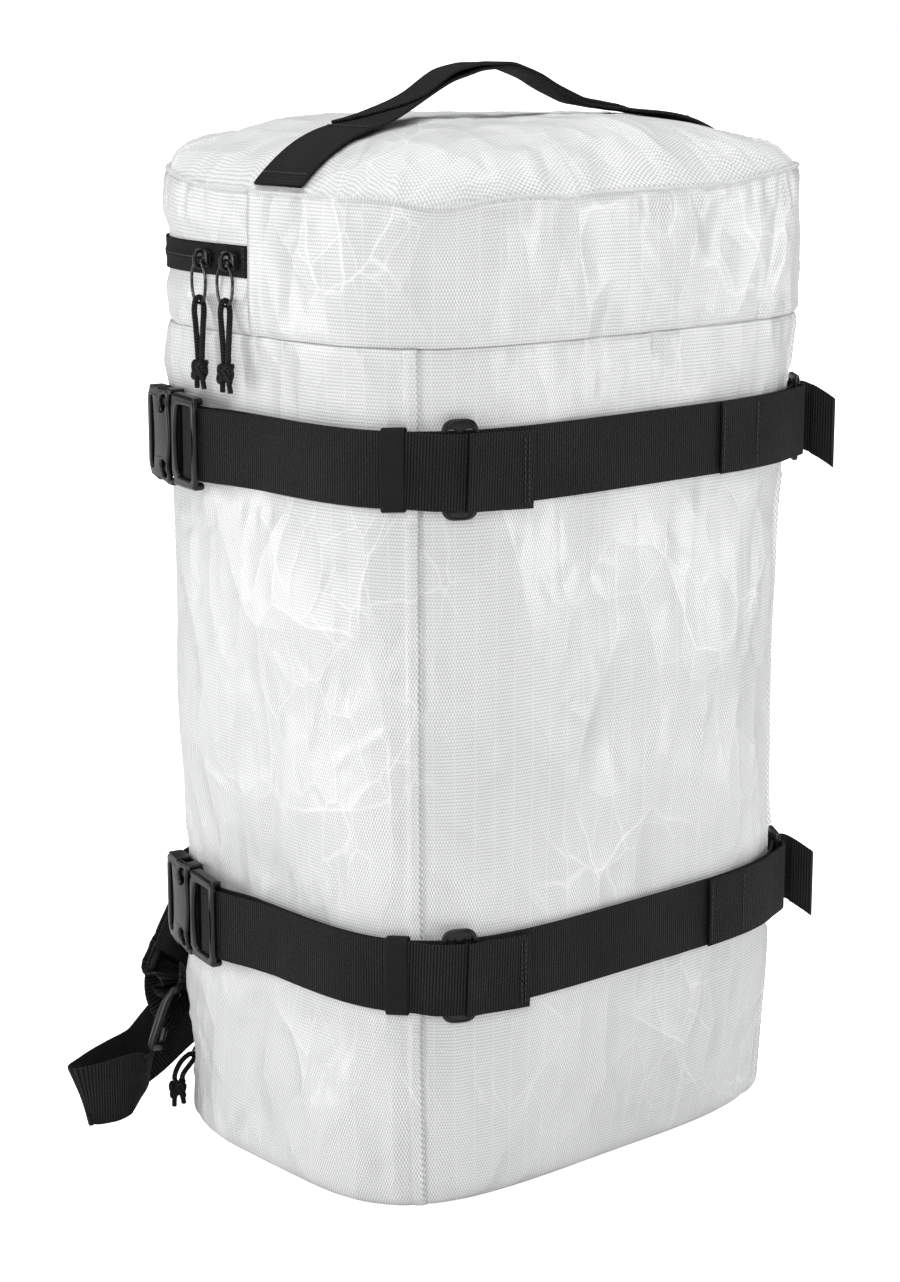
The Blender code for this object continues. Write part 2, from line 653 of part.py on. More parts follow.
def shoulder_strap(label, side):
    """A padded strap with its ladder lock and the slack loop sewn to the lower corner."""
    mirrored = Matrix.Diagonal((side, 1, 1))
    path = smooth_path([mirrored @ Vector(p) for p in STRAP_LINE], 3)
    spots = np.linspace(0, len(STRAP_TWIST) - 1, len(path))
    twist = np.interp(spots, range(len(STRAP_TWIST)), STRAP_TWIST)
    widths = np.interp(spots, range(len(STRAP_WIDTHS)), STRAP_WIDTHS)
    across = [Vector((side * math.cos(math.radians(t)), -math.sin(math.radians(t)), 0))
              for t in twist]
    ribbon(f"{label}_shoulder_strap", path, across, list(widths), STRAP_T)

    top = mirrored @ Vector(LOCK_TOP)
    end = mirrored @ Vector(LOCK_END)
    along = (end - top).normalized()
    wide = Vector((-side * LOCK_ACROSS[0], LOCK_ACROSS[1], 0)).normalized()
    wide = (wide - along * wide.dot(along)).normalized()
    place = Matrix((along, wide.cross(along), wide)).transposed().to_4x4()
    if place.determinant() < 0:
        place = Matrix((along, along.cross(wide), wide)).transposed().to_4x4()
    place.translation = top
    length = (end - top).length
    half = WEB / 2
    frame_plate(f"{label}_ladder_lock", place, (0, -0.0015, -LOCK_HALF),
                (length, 0.0015, LOCK_HALF),
                [((0.004, -0.01, -half), (0.013, 0.01, half)),
                 ((0.018, -0.01, -half), (length - 0.004, 0.01, half))])

    loop = smooth_path([mirrored @ Vector(p) for p in LOOP_LINE], 3)
    spots = np.linspace(0, len(LOOP_TWIST) - 1, len(loop))
    upright = Vector((0, 0, -1))
    leaning = Vector((-side * 0.35, 0, -0.94))
    across = []
    for spot, turn in zip(spots, np.interp(spots, range(len(LOOP_TWIST)), LOOP_TWIST)):
        across.append(upright.lerp(leaning, min(spot / 4, 1.0)).lerp(wide, turn))
    ribbon(f"{label}_strap_loop", loop, across, [WEB] * len(loop), 0.0012)


def main():
    clear_scene()
    body()
    handle()
    zips()
    lid_pulls()
    base_pull()
    for label, z in BELTS.items():
        belt(label, z)
    shoulder_strap("left", -1)
    shoulder_strap("right", 1)


main()
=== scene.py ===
import math

import bmesh
import bpy
import numpy as np
from mathutils import Matrix, Vector


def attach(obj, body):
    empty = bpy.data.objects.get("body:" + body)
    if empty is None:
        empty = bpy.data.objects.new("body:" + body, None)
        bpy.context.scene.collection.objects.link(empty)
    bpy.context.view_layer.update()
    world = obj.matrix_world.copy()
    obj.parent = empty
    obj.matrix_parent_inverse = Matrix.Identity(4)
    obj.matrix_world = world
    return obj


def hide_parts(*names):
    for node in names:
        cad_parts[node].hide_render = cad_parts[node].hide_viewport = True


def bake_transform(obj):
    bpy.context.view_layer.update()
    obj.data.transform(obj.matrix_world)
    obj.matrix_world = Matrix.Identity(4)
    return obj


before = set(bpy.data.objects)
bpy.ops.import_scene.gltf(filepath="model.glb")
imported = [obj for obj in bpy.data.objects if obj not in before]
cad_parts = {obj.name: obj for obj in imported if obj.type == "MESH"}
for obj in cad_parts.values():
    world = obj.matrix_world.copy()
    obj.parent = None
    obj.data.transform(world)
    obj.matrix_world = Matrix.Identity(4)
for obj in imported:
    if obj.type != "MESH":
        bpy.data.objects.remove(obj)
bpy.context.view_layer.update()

# ---------------------------------------------------------------- sizes shared with the CAD
SEAM_Z = 0.522
BAND_Z = 0.4506
CROWN = 0.034
CROWN_POWER = 5.0
HANDLE_Y = -0.027
SPLIT_Y = -0.005
LEVELS = (0.0, 0.108, 0.158, 0.412, 0.455, 0.522)
WIDTHS = (0.306, 0.295, 0.295, 0.307, 0.316, 0.316)
DEPTHS = (0.221, 0.243, 0.243, 0.245, 0.248, 0.248)
SQUARENESS = 4.0
BASE_ROUND = 0.012
CORNER = 37.8
WEB = 0.038
WEB_T = 0.0016
BELTS = {"upper": 0.392, "lower": 0.1326}
LAYER_1 = 0.0032
LAYER_2 = 0.0054
ZIP_Z = 0.487
TAPE = 0.0080
WALL_CLOTH = 0.0014
YOKE_CLOTH = 0.0014
LID_CLOTH = 0.0012
BASE_CLOTH = 0.0030
UP = Vector((0, 0, 1))

# ---------------------------------------------------------------- camera, light and floor
EYE_REACH = 1.5064
EYE_Z = 0.6093
EYE_AZIMUTH = 0.7241
LOOK_AZIMUTH = 0.7130
LOOK_DOWN = 0.2216
LENS_MM = 78.6
SENSOR_MM = 36.0
AMBIENT = 0.13
SUN_POWER = 2.6
SUN_SPREAD = 50
FLOOR_HALF = 60.0
FLOOR_Z = -0.0004
# Each soft box: its name, place, the height it is aimed at, its size and its power.
SOFT_BOXES = [("left_box", (-1.75, 1.45, 0.56), 0.30, (0.6, 1.1), 19),
              ("right_box", (1.85, -1.75, 0.56), 0.30, (0.6, 1.1), 19),
              ("front_box", (-1.9, -1.7, 1.45), 0.28, (1.1, 1.4), 35)]


def add(name, data):
    made = bpy.data.objects.new(name, data)
    bpy.context.collection.objects.link(made)
    return made


def aim(thing, place, direction):
    thing.location = place
    thing.rotation_euler = direction.to_track_quat("-Z", "Y").to_euler()


def camera():
    data = bpy.data.cameras.new("camera")
    data.sensor_fit = "VERTICAL"
    data.sensor_height = SENSOR_MM
    data.lens = LENS_MM
    data.clip_start = 0.05
    eye = add("camera", data)
    level = math.cos(LOOK_DOWN)
    aim(eye, (-EYE_REACH * math.sin(EYE_AZIMUTH), -EYE_REACH * math.cos(EYE_AZIMUTH), EYE_Z),
        Vector((math.sin(LOOK_AZIMUTH) * level, math.cos(LOOK_AZIMUTH) * level,
                -math.sin(LOOK_DOWN))))
    bpy.context.scene.camera = eye


def studio():
    """A white sweep: the backdrop shows white, and soft lights shape the cloth."""
    scene = bpy.context.scene
    scene.view_settings.view_transform = "Standard"
    scene.world = bpy.data.worlds.new("studio")
    scene.world.use_nodes = True
    tree = scene.world.node_tree
    mix = tree.nodes.new("ShaderNodeMixShader")
    seen = tree.nodes.new("ShaderNodeBackground")
    for shader, strength, socket in ((tree.nodes["Background"], AMBIENT, 1), (seen, 1.0, 2)):
        shader.inputs[0].default_value = (1, 1, 1, 1)
        shader.inputs[1].default_value = strength
        tree.links.new(shader.outputs[0], mix.inputs[socket])
    path = tree.nodes.new("ShaderNodeLightPath")
    tree.links.new(path.outputs["Is Camera Ray"], mix.inputs[0])
    tree.links.new(mix.outputs[0], tree.nodes["World Output"].inputs[0])
    for name, place, height, size, power in SOFT_BOXES:
        data = bpy.data.lights.new(name, "AREA")
        data.shape = "RECTANGLE"
        data.size, data.size_y = size
        data.energy = power
        aim(add(name, data), place, Vector((0, 0, height)) - Vector(place))
    sun = bpy.data.lights.new("overhead", "SUN")
    sun.energy = SUN_POWER
    sun.angle = math.radians(SUN_SPREAD)
    add("overhead", sun)
    floor = bpy.data.meshes.new("floor")
    floor.from_pydata([(x * FLOOR_HALF, y * FLOOR_HALF, FLOOR_Z) for x, y in
                       ((-1, -1), (1, -1), (1, 1), (-1, 1))], [], [(0, 1, 2, 3)])
    floor.materials.append(floor_paint())
    add("floor", floor)


# ---------------------------------------------------------------- materials
class Nodes:
    """A small helper that builds one material's node tree."""

    def __init__(self, name):
        self.material = bpy.data.materials.new(name)
        self.material.use_nodes = True
        self.tree = self.material.node_tree
        self.shader = self.tree.nodes["Principled BSDF"]

    def add(self, kind, **settings):
        node = self.tree.nodes.new(kind)
        for key, value in settings.items():
            setattr(node, key, value)
        return node

    def put(self, socket, value):
        if isinstance(value, bpy.types.NodeSocket):
            self.tree.links.new(value, socket)
        else:
            socket.default_value = value

    def fill(self, node, **values):
        """Puts values into a node's sockets by name, and gives the node back."""
        for name, value in values.items():
            self.put(node.inputs[name], value)
        return node

    def math(self, operation, a, b=0.0, c=0.0, clamp=False):
        node = self.add("ShaderNodeMath", operation=operation, use_clamp=clamp)
        for socket, value in zip(node.inputs, (a, b, c)):
            self.put(socket, value)
        return node.outputs[0]

    def times(self, a, b):
        return self.math("MULTIPLY", a, b)

    def noise(self, scale, detail=2.0, output="Fac"):
        return self.fill(self.add("ShaderNodeTexNoise"), Scale=scale, Detail=detail,
                         Vector=self.place()).outputs[output]

    def place(self):
        return self.add("ShaderNodeTexCoord").outputs["Object"]

    def cells(self, where, scale, feature="F1"):
        return self.fill(self.add("ShaderNodeTexVoronoi", feature=feature), Scale=scale,
                         Vector=where).outputs["Distance"]

    def uv(self):
        split = self.add("ShaderNodeSeparateXYZ")
        self.put(split.inputs[0], self.add("ShaderNodeTexCoord").outputs["UV"])
        return split.outputs[0], split.outputs[1]

    def wave(self, value, period):
        """A sine of a length in metres, from -1 to 1."""
        return self.math("SINE", self.times(value, 2 * math.pi / period))

    def blend(self, share, a, b):
        node = self.add("ShaderNodeMix", data_type="RGBA")
        self.put(node.inputs[0], share)
        self.put(node.inputs[6], (*a, 1.0) if isinstance(a, tuple) else a)
        self.put(node.inputs[7], (*b, 1.0) if isinstance(b, tuple) else b)
        return node.outputs[2]

    def ramp(self, value, low, high, to_low=0.0, to_high=1.0):
        node = self.add("ShaderNodeMapRange")
        for socket, number in zip(node.inputs[:5], (value, low, high, to_low, to_high)):
            self.put(socket, number)
        return node.outputs[0]

    def bump(self, height, distance, strength, under=None):
        node = self.fill(self.add("ShaderNodeBump"), Strength=strength, Distance=distance,
                         Height=height)
        if under is not None:
            self.put(node.inputs["Normal"], under)
        self.put(self.shader.inputs["Normal"], node.outputs[0])
        return node.outputs[0]

    def shade(self, colour, roughness, specular=0.5):
        """Sets the colour, roughness and specular level, and gives the material back."""
        self.put(self.shader.inputs["Base Color"], colour)
        self.put(self.shader.inputs["Roughness"], roughness)
        self.put(self.shader.inputs["Specular IOR Level"], specular)
        return self.material


def floor_paint():
    """Pale paint that the camera sees as pure white."""
    nodes = Nodes("floor_paint")
    speck = nodes.ramp(nodes.noise(3.0), 0.3, 0.7)
    nodes.put(nodes.shader.inputs["Emission Color"], (1, 1, 1, 1))
    nodes.put(nodes.shader.inputs["Emission Strength"],
              nodes.add("ShaderNodeLightPath").outputs["Is Camera Ray"])
    return nodes.shade(nodes.blend(speck, (0.80, 0.80, 0.80), (0.788, 0.788, 0.788)), 0.9)


RIB_GAP = 0.00175
WEAVE_GAP = 0.0015
YARN_GAP = 0.0055
CREASE_SCALE = 17.0
SMALL_CREASE_SCALE = 46.0


def sailcloth(name, roughness=0.36):
    """White laminated ripstop: a checker weave, raised ribs, reinforcing yarns and crumpled
    creases, with a painted highlight along the crease lines.
    """
    nodes = Nodes(name)
    drift = nodes.ramp(nodes.noise(14.0), 0.3, 0.7, -0.0004, 0.0004)
    u, v = [nodes.math("ADD", length, drift) for length in nodes.uv()]
    weave = nodes.times(nodes.wave(u, WEAVE_GAP), nodes.wave(v, RIB_GAP * 2))
    ribs = nodes.ramp(nodes.wave(v, RIB_GAP), -0.1, 0.9)
    line = nodes.ramp(nodes.math("PINGPONG", u, YARN_GAP), 0.00025, 0.00055, 1.0, 0.0)
    yarn = nodes.times(line, nodes.ramp(nodes.wave(v, RIB_GAP), -0.6, 0.4))
    patches = nodes.ramp(nodes.noise(8.0, 3.0), 0.42, 0.58)
    rib_part = nodes.times(ribs, nodes.ramp(patches, 0.0, 1.0, 0.35, 1.0))
    weave_part = nodes.times(weave, nodes.ramp(patches, 0.0, 1.0, 1.0, 0.45))

    shaken = nodes.add("ShaderNodeMix", data_type="VECTOR")
    nodes.put(shaken.inputs[0], 0.035)
    nodes.put(shaken.inputs[4], nodes.place())
    nodes.put(shaken.inputs[5], nodes.noise(9.0, 3.0, "Color"))
    place = nodes.fill(nodes.add("ShaderNodeMapping"), Scale=(1.0, 1.0, 0.55),
                       Vector=shaken.outputs[1]).outputs[0]
    edges = [nodes.ramp(nodes.cells(place, scale, "DISTANCE_TO_EDGE"), 0.0, reach, share, 0.0)
             for scale, reach, share in ((CREASE_SCALE, 0.012, 1.0),
                                         (SMALL_CREASE_SCALE, 0.024, 0.7))]
    # Painted highlight: the colour is lightened along the crease lines of the crumple, in random
    # patches.
    highlight_patches = nodes.ramp(nodes.noise(11.0, 2.0), 0.52, 0.64)
    crease_highlight = nodes.times(nodes.math("ADD", *edges, clamp=True), highlight_patches)

    colour = nodes.blend(nodes.ramp(weave_part, -1.0, 1.0), (0.37, 0.376, 0.382),
                         (0.96, 0.963, 0.967))
    # The last tint is the painted highlight along the crease lines.
    for part, share, tint in ((rib_part, 0.60, (0.38, 0.387, 0.393)),
                              (yarn, 0.24, (0.93, 0.933, 0.937)),
                              (crease_highlight, 0.42, (0.96, 0.96, 0.962))):
        colour = nodes.blend(nodes.times(part, share), colour, tint)
    height = nodes.math("MULTIPLY_ADD", weave_part, 0.30, nodes.times(rib_part, -0.8))
    cloth = nodes.bump(nodes.math("ADD", height, yarn), 0.00011, 0.8)
    crumple = nodes.math("MULTIPLY_ADD", nodes.cells(place, SMALL_CREASE_SCALE), 0.28,
                         nodes.cells(place, CREASE_SCALE))
    nodes.bump(crumple, 0.0110, 0.9, under=cloth)
    return nodes.shade(colour, nodes.ramp(patches, 0.0, 1.0, roughness, roughness + 0.09), 0.8)


def webbing(name, rib=0.00155, strength=1.0, colour=(0.0015, 0.0015, 0.0017), high=0.0360):
    """Black woven webbing: ribs across it, each a row of small knuckles; the rib tops carry a
    painted highlight.
    """
    nodes = Nodes(name)
    u, v = nodes.uv()
    ribs = nodes.math("ABSOLUTE", nodes.wave(u, rib * 2))
    offset = nodes.times(nodes.math("FLOOR", nodes.math("DIVIDE", u, rib)), 0.0006)
    knuckles = nodes.math("ABSOLUTE", nodes.wave(nodes.math("ADD", v, offset), 0.0024))
    height = nodes.times(ribs, nodes.math("MULTIPLY_ADD", knuckles, 0.6, 0.4))
    fuzz = nodes.noise(900.0, 2.0)
    # Painted highlight: the tops of the ribs and knuckles are coloured lighter, more so in random
    # patches.
    highlight_patches = nodes.ramp(nodes.noise(22.0, 3.0), 0.35, 0.7)
    lit = nodes.times(nodes.ramp(height, 0.35, 1.0), nodes.ramp(highlight_patches, 0.0, 1.0, 0.6, 1.0))
    nodes.bump(nodes.math("MULTIPLY_ADD", fuzz, 0.15, height), 0.00030, strength)
    # high is the colour of the painted highlight on the rib tops.
    return nodes.shade(nodes.blend(lit, colour, (high, high, high * 1.02)),
                       nodes.ramp(fuzz, 0.3, 0.7, 0.62, 0.82), 0.16)


def moulded():
    """Black moulded plastic with a fine spark-eroded grain."""
    nodes = Nodes("acetal")
    wear = nodes.ramp(nodes.noise(60.0, 3.0), 0.35, 0.75)
    nodes.bump(nodes.noise(1400.0, 2.0), 0.00006, 0.5)
    return nodes.shade(nodes.blend(wear, (0.0024, 0.0024, 0.0027), (0.00456, 0.00456, 0.00513)),
                       nodes.ramp(wear, 0.0, 1.0, 0.30, 0.42), 0.42)


def braided():
    """Black braided cord: two families of strands crossing round it, their crowns coloured lighter
    as a painted highlight.
    """
    strand = 0.0016
    nodes = Nodes("braided_cord")
    u, v = nodes.uv()
    strands = [nodes.wave(nodes.math("MULTIPLY_ADD", u, turn * strand, v), strand)
               for turn in (1, -1)]
    height = nodes.math("MAXIMUM", *strands)
    nodes.bump(height, 0.00025, 0.8)
    # Painted highlight: the strand crowns are coloured lighter than the hollows between them.
    return nodes.shade(nodes.blend(nodes.ramp(height, 0.2, 1.0), (0.0022, 0.0022, 0.0023),
                                   (0.017, 0.017, 0.0175)), 0.7, 0.2)


def metal():
    """Wire blackened all over and rubbed brighter in places."""
    nodes = Nodes("dark_wire")
    wear = nodes.ramp(nodes.noise(300.0, 3.0), 0.4, 0.8)
    nodes.put(nodes.shader.inputs["Metallic"], 0.9)
    nodes.bump(nodes.noise(700.0), 0.00003, 0.4)
    return nodes.shade(nodes.blend(wear, (0.030, 0.030, 0.032), (0.14, 0.14, 0.145)),
                       nodes.ramp(wear, 0.0, 1.0, 0.22, 0.34))


def thread():
    """Black sewing thread with a twist."""
    nodes = Nodes("black_thread")
    twist = nodes.noise(1800.0, 1.0)
    nodes.bump(twist, 0.0001, 0.6)
    return nodes.shade(nodes.blend(twist, (0.012, 0.012, 0.0124), (0.028, 0.028, 0.0286)), 0.6)


CLOTH = sailcloth("ripstop_laminate")
CLOTH_TOP = sailcloth("ripstop_laminate_top", 0.55)
# The last number given to webbing() is its painted highlight colour on the rib tops.
STRAP = webbing("belt_webbing_weave")
TAPE_CLOTH = webbing("zip_tape_weave", 0.0009, 0.4, (0.0035, 0.0035, 0.0037), 0.0085)
ELASTIC = webbing("keeper_weave", 0.0007, 0.35, (0.0065, 0.0065, 0.0067), 0.0130)
PAD_CLOTH = webbing("strap_pad_cloth", 0.0020, 0.5, (0.0040, 0.0040, 0.0042), 0.0140)
PLASTIC = moulded()
CORD = braided()
METAL = metal()
THREAD = thread()


# ---------------------------------------------------------------- mesh building
WELD = 1e-7
RIBBON_EDGE = 0.4


def finish(name, mesh, material, body, slot_name, *nodes_replaced):
    """One visible piece: its material, the body it rides on and the CAD nodes it stands for."""
    made = add(name, mesh)
    mesh.materials.append(material)
    mesh.shade_smooth()
    if body:
        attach(made, body)
    if nodes_replaced:
        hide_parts(*nodes_replaced)
    return made


def grid_mesh(name, points, uv, wrap=False, caps=False):
    """A mesh over a rows x columns x 3 array, with uv given as a rows x columns x 2 array."""
    points = np.asarray(points, dtype=float)
    rows, columns = points.shape[:2]
    i = np.arange(rows - 1)[:, None] * columns
    j = np.arange(columns if wrap else columns - 1)[None, :]
    k = (j + 1) % columns
    quads = np.stack([i + j, i + k, i + columns + k, i + columns + j], axis=-1).reshape(-1, 4)
    faces = quads.tolist()
    if caps:
        faces += [list(range(columns)), list(range((rows - 1) * columns, rows * columns))]
    mesh = bpy.data.meshes.new(name)
    mesh.from_pydata(points.reshape(-1, 3).tolist(), [], faces)

    uv = np.asarray(uv, dtype=float)
    past_end = 2 * uv[0, -1, 0] - uv[0, -2, 0]
    uv = uv.reshape(-1, 2)
    corners = uv[quads]
    corners[quads[:, 1] % columns == 0, 1:3, 0] = past_end
    loops = np.concatenate([corners.reshape(-1, 2)] + [uv[face] for face in faces[len(quads):]])
    mesh.uv_layers.new(name="lengths").data.foreach_set("uv", loops.reshape(-1))
    bm = bmesh.new()
    bm.from_mesh(mesh)
    bmesh.ops.remove_doubles(bm, verts=bm.verts, dist=WELD)
    bmesh.ops.recalc_face_normals(bm, faces=bm.faces)
    bm.to_mesh(mesh)
    bm.free()
    return mesh


def smooth_path(points, per_span):
    """A smooth curve through given points, per_span steps between each pair."""
    given = [Vector(p) for p in points]
    ends = [2 * given[0] - given[1]] + given + [2 * given[-1] - given[-2]]
    path = []
    for a, b, c, d in zip(ends, ends[1:], ends[2:], ends[3:]):
        for step in range(per_span):
            t = step / per_span
            path.append(0.5 * (2 * b + (c - a) * t + (2 * a - 5 * b + 4 * c - d) * t * t
                               + (3 * b - a - 3 * c + d) * t ** 3))
    path.append(given[-1])
    return path


def spaced(path, step):
    """The same path with evenly spaced points."""
    points = np.array([list(p) for p in path])
    lengths = np.concatenate([[0], np.cumsum(np.linalg.norm(np.diff(points, axis=0), axis=1))])
    count = max(2, int(round(lengths[-1] / step)) + 1)
    at = np.linspace(0, lengths[-1], count)
    return [Vector([float(np.interp(t, lengths, points[:, k])) for k in range(3)]) for t in at]


def walk(path, closed=False):
    """Each point of a path, the direction of the path there and the length run so far."""
    last = len(path) - 1
    run = 0.0
    for i, point in enumerate(path):
        if closed:
            along = path[(i + 1) % len(path)] - path[i - 1]
        else:
            along = path[min(i + 1, last)] - path[max(i - 1, 0)]
        if i:
            run += (point - path[i - 1]).length
        yield point, along.normalized(), run


def each(value, count):
    """A list of count values: the list as it is given, or one value repeated."""
    return value if isinstance(value, (list, np.ndarray)) else [value] * count


def ribbon_mesh(name, path, across, width, thickness):
    """Webbing along a path with rounded edges; across is its width direction at each point.

    across and width are one value or one for each point.
    """
    across = each(across, len(path))
    width = each(width, len(path))
    t = thickness / 2
    r = thickness * RIBBON_EDGE
    rings = []
    coords = []
    for (point, along, run), wide, full in zip(walk(path), across, width):
        wide = (wide - along * wide.dot(along)).normalized()
        thick = along.cross(wide).normalized()
        flat = full / 2 - r
        half = [(flat * share, t) for share in (-1, -0.5, 0, 0.5, 1)]
        half += [(flat + r * math.cos(a), t * math.sin(a)) for a in
                 (math.radians(55), 0, math.radians(-55))]
        section = half + [(-a, -b) for a, b in half]
        rings.append([list(point + wide * a + thick * b) for a, b in section])
        coords.append([(run, a) for a, b in section])
    return closed_tube(name, rings, coords)


def strap_piece(name, path, body, *nodes_replaced, across=UP, width=WEB, thickness=WEB_T,
                material=STRAP):
    """A visible length of webbing."""
    mesh = ribbon_mesh(name, path, across, width, thickness)
    return finish(name, mesh, material, body, "webbing", *nodes_replaced)


def closed_tube(name, rings, coords, caps=True):
    """A tube through closed rings, with flat ends."""
    rings = np.asarray(rings)
    coords = np.asarray(coords)
    rings = np.concatenate([rings, rings[:, :1]], axis=1)
    coords = np.concatenate([coords, coords[:, :1]], axis=1)
    return grid_mesh(name, rings, coords, caps=caps)


def tube_mesh(name, path, radius, sides, closed=False, squash=1.0):
    """A round tube; its UVs are the turn round it and the run along it."""
    turns = [2 * math.pi * j / sides for j in range(sides)]
    rings = []
    coords = []
    normal = None
    for (point, along, run), r in zip(walk(path, closed), each(radius, len(path))):
        if normal is None:
            normal = along.orthogonal().normalized()
        normal = (normal - along * normal.dot(along)).normalized()
        other = along.cross(normal)
        rings.append([list(point + normal * r * math.cos(a) + other * r * squash * math.sin(a))
                      for a in turns])
        coords.append([(j / sides, run) for j in range(sides)])
    if closed:
        rings.append(rings[0])
        coords.append(coords[-1])
    return closed_tube(name, rings, coords, caps=not closed)


def round_corners(points, radius, steps):
    """A polygon with its corners rounded. radius is one number or one for each corner."""
    out = []
    for i, (corner, r) in enumerate(zip(points, each(radius, len(points)))):
        here = Vector(corner)
        start, end = [here + away.normalized() * min(r, away.length * 0.49) for away in
                      (Vector(points[i - 1]) - here, Vector(points[(i + 1) % len(points)]) - here)]
        for s in range(steps + 1):
            t = s / steps
            out.append(start * (1 - t) ** 2 + here * 2 * t * (1 - t) + end * t * t)
    return out


def block(low, high, half, radius, steps=4):
    """A rectangle with rounded corners, from low to high in X and half to each side in Z."""
    return round_corners([(low, -half), (high, -half), (high, half), (low, half)], radius, steps)


def plate_mesh(name, outline, holes, low, high, bevel):
    """A moulded plate with rounded edges: a 2-D outline in X and Z, from Y low to Y high."""
    data = bpy.data.curves.new(name, "CURVE")
    data.dimensions = "2D"
    data.fill_mode = "BOTH"
    data.bevel_depth = bevel
    data.bevel_resolution = 3
    data.offset = -bevel
    data.extrude = max(0.0, (high - low) / 2 - bevel)
    for ring in [outline] + holes:
        spline = data.splines.new("POLY")
        spline.points.add(len(ring) - 1)
        for target, point in zip(spline.points, ring):
            target.co = (point[0], point[1], 0, 1)
        spline.use_cyclic_u = True
    holder = add(name, data)
    bpy.context.view_layer.update()
    mesh = bpy.data.meshes.new_from_object(
        holder.evaluated_get(bpy.context.evaluated_depsgraph_get()))
    bpy.data.objects.remove(holder)
    mesh.transform(Matrix.Rotation(math.radians(90), 4, "X"))
    mesh.transform(Matrix.Translation((0, (low + high) / 2, 0)))
    return mesh


def join_meshes(name, meshes, place=None):
    """One mesh out of several, moved to a place."""
    bm = bmesh.new()
    for mesh in meshes:
        if place:
            mesh.transform(place)
        bm.from_mesh(mesh)
        bpy.data.meshes.remove(mesh)
    bmesh.ops.remove_doubles(bm, verts=bm.verts, dist=WELD)
    joined = bpy.data.meshes.new(name)
    bm.to_mesh(joined)
    bm.free()
    return joined


def warp(mesh, rule):
    """Moves each vertex of a mesh by a rule from old place to new."""
    for vertex in mesh.vertices:
        vertex.co = rule(vertex.co)
    return mesh


def stitches(name, lines, pitch, radius, slot_name="webbing"):
    """Rows of thread stitches. Each line is (path, out): points on the cloth and its outward
    direction."""
    parts = []
    for path, out in lines:
        path = spaced(path, pitch)
        for a, b in zip(path[:-1], path[1:]):
            reach = (b - a) * 0.36
            ends = [(a + b) / 2 + reach * share + out * radius * rise for share, rise in
                    ((-1, -0.8), (-0.55, 0.5), (0, 0.75), (0.55, 0.5), (1, -0.8))]
            parts.append(tube_mesh("stitch", ends, radius, 6))
    finish(name, join_meshes(name, parts), THREAD, "bag", slot_name)


# ---------------------------------------------------------------- the sack's section
def half_size(z):
    return np.interp(z, LEVELS, WIDTHS) / 2, np.interp(z, LEVELS, DEPTHS) / 2


def soft_step(value, low, high):
    t = np.clip((value - low) / (high - low), 0, 1)
    return t * t * (3 - 2 * t)


def hump(value, middle, reach):
    """A smooth bump of height 1 round a value."""
    return np.exp(-((value - middle) / reach) ** 2)


def rounded(value, power):
    """A power that keeps the sign, which squares up a circle."""
    return math.copysign(abs(value) ** power, value)


def pulled_in(degrees, z):
    """How far the cloth pulls in at the lid's back left corner and between the belts at the
    front right one."""
    turned = degrees % 360
    lid = 0.0065 * hump(turned, 141, 13) * soft_step(z, 0.425, 0.462)
    between = np.sin(np.clip((z - 0.165) / 0.210, 0, 1) * math.pi) ** 0.6
    return lid + 0.0042 * hump(turned, 318, 12) * between


def wall_points(degrees, z, out=0.0):
    """Points of the wall's outer surface, as an array; out metres proud of it."""
    degrees, z, out = np.broadcast_arrays(np.asarray(degrees, float), np.asarray(z, float),
                                          np.asarray(out, float))
    rise = np.clip(z, 0, BASE_ROUND)
    out = out - pulled_in(degrees, z)
    out = out - (BASE_ROUND - np.sqrt(BASE_ROUND ** 2 - (BASE_ROUND - rise) ** 2))
    a, b = [half + out for half in half_size(z)]
    c = np.cos(np.radians(degrees))
    s = np.sin(np.radians(degrees))
    reach = (np.abs(c / a) ** SQUARENESS + np.abs(s / b) ** SQUARENESS) ** (-1 / SQUARENESS)
    return np.stack([reach * c, reach * s, z], axis=-1)


def wall_point(degrees, z, out=0.0):
    return Vector(wall_points(degrees, z, out).tolist())


def on_wall(bearings, z, out):
    return [wall_point(d, z, out) for d in bearings]


def squared(known, known_half, other_half):
    """The other coordinate of a point on the squared section."""
    return float(other_half * (1 - abs(known / known_half) ** SQUARENESS) ** (1 / SQUARENESS))


def side_x(y, z):
    a, b = half_size(z)
    return squared(y, b, a)


def back_y(x, z):
    a, b = half_size(z)
    return squared(x, a, b)


MIDDLE_Z = 0.3


def bearing(x, y):
    return math.degrees(math.atan2(y, x)) % 360


def span(start, end, count):
    return [float(v) for v in np.linspace(start, end, count)]


def run_round(degrees):
    """Length along the wall from bearing 0, for each bearing, half way up."""
    fine = np.linspace(-360, 720, 4321)
    points = wall_points(fine, MIDDLE_Z)
    run = np.concatenate([[0], np.cumsum(np.linalg.norm(np.diff(points, axis=0), axis=1))])
    run -= np.interp(0.0, fine, run)
    return np.interp(degrees, fine, run)


def frame_at(point, tangent_degrees):
    """A local frame on a wall: X along the wall, Y straight out of it, Z up."""
    turn = math.radians(tangent_degrees)
    along = Vector((math.cos(turn), math.sin(turn), 0))
    out = Vector((-along.y, along.x, 0))
    place = Matrix((along, out, UP)).transposed().to_4x4()
    place.translation = point
    return place


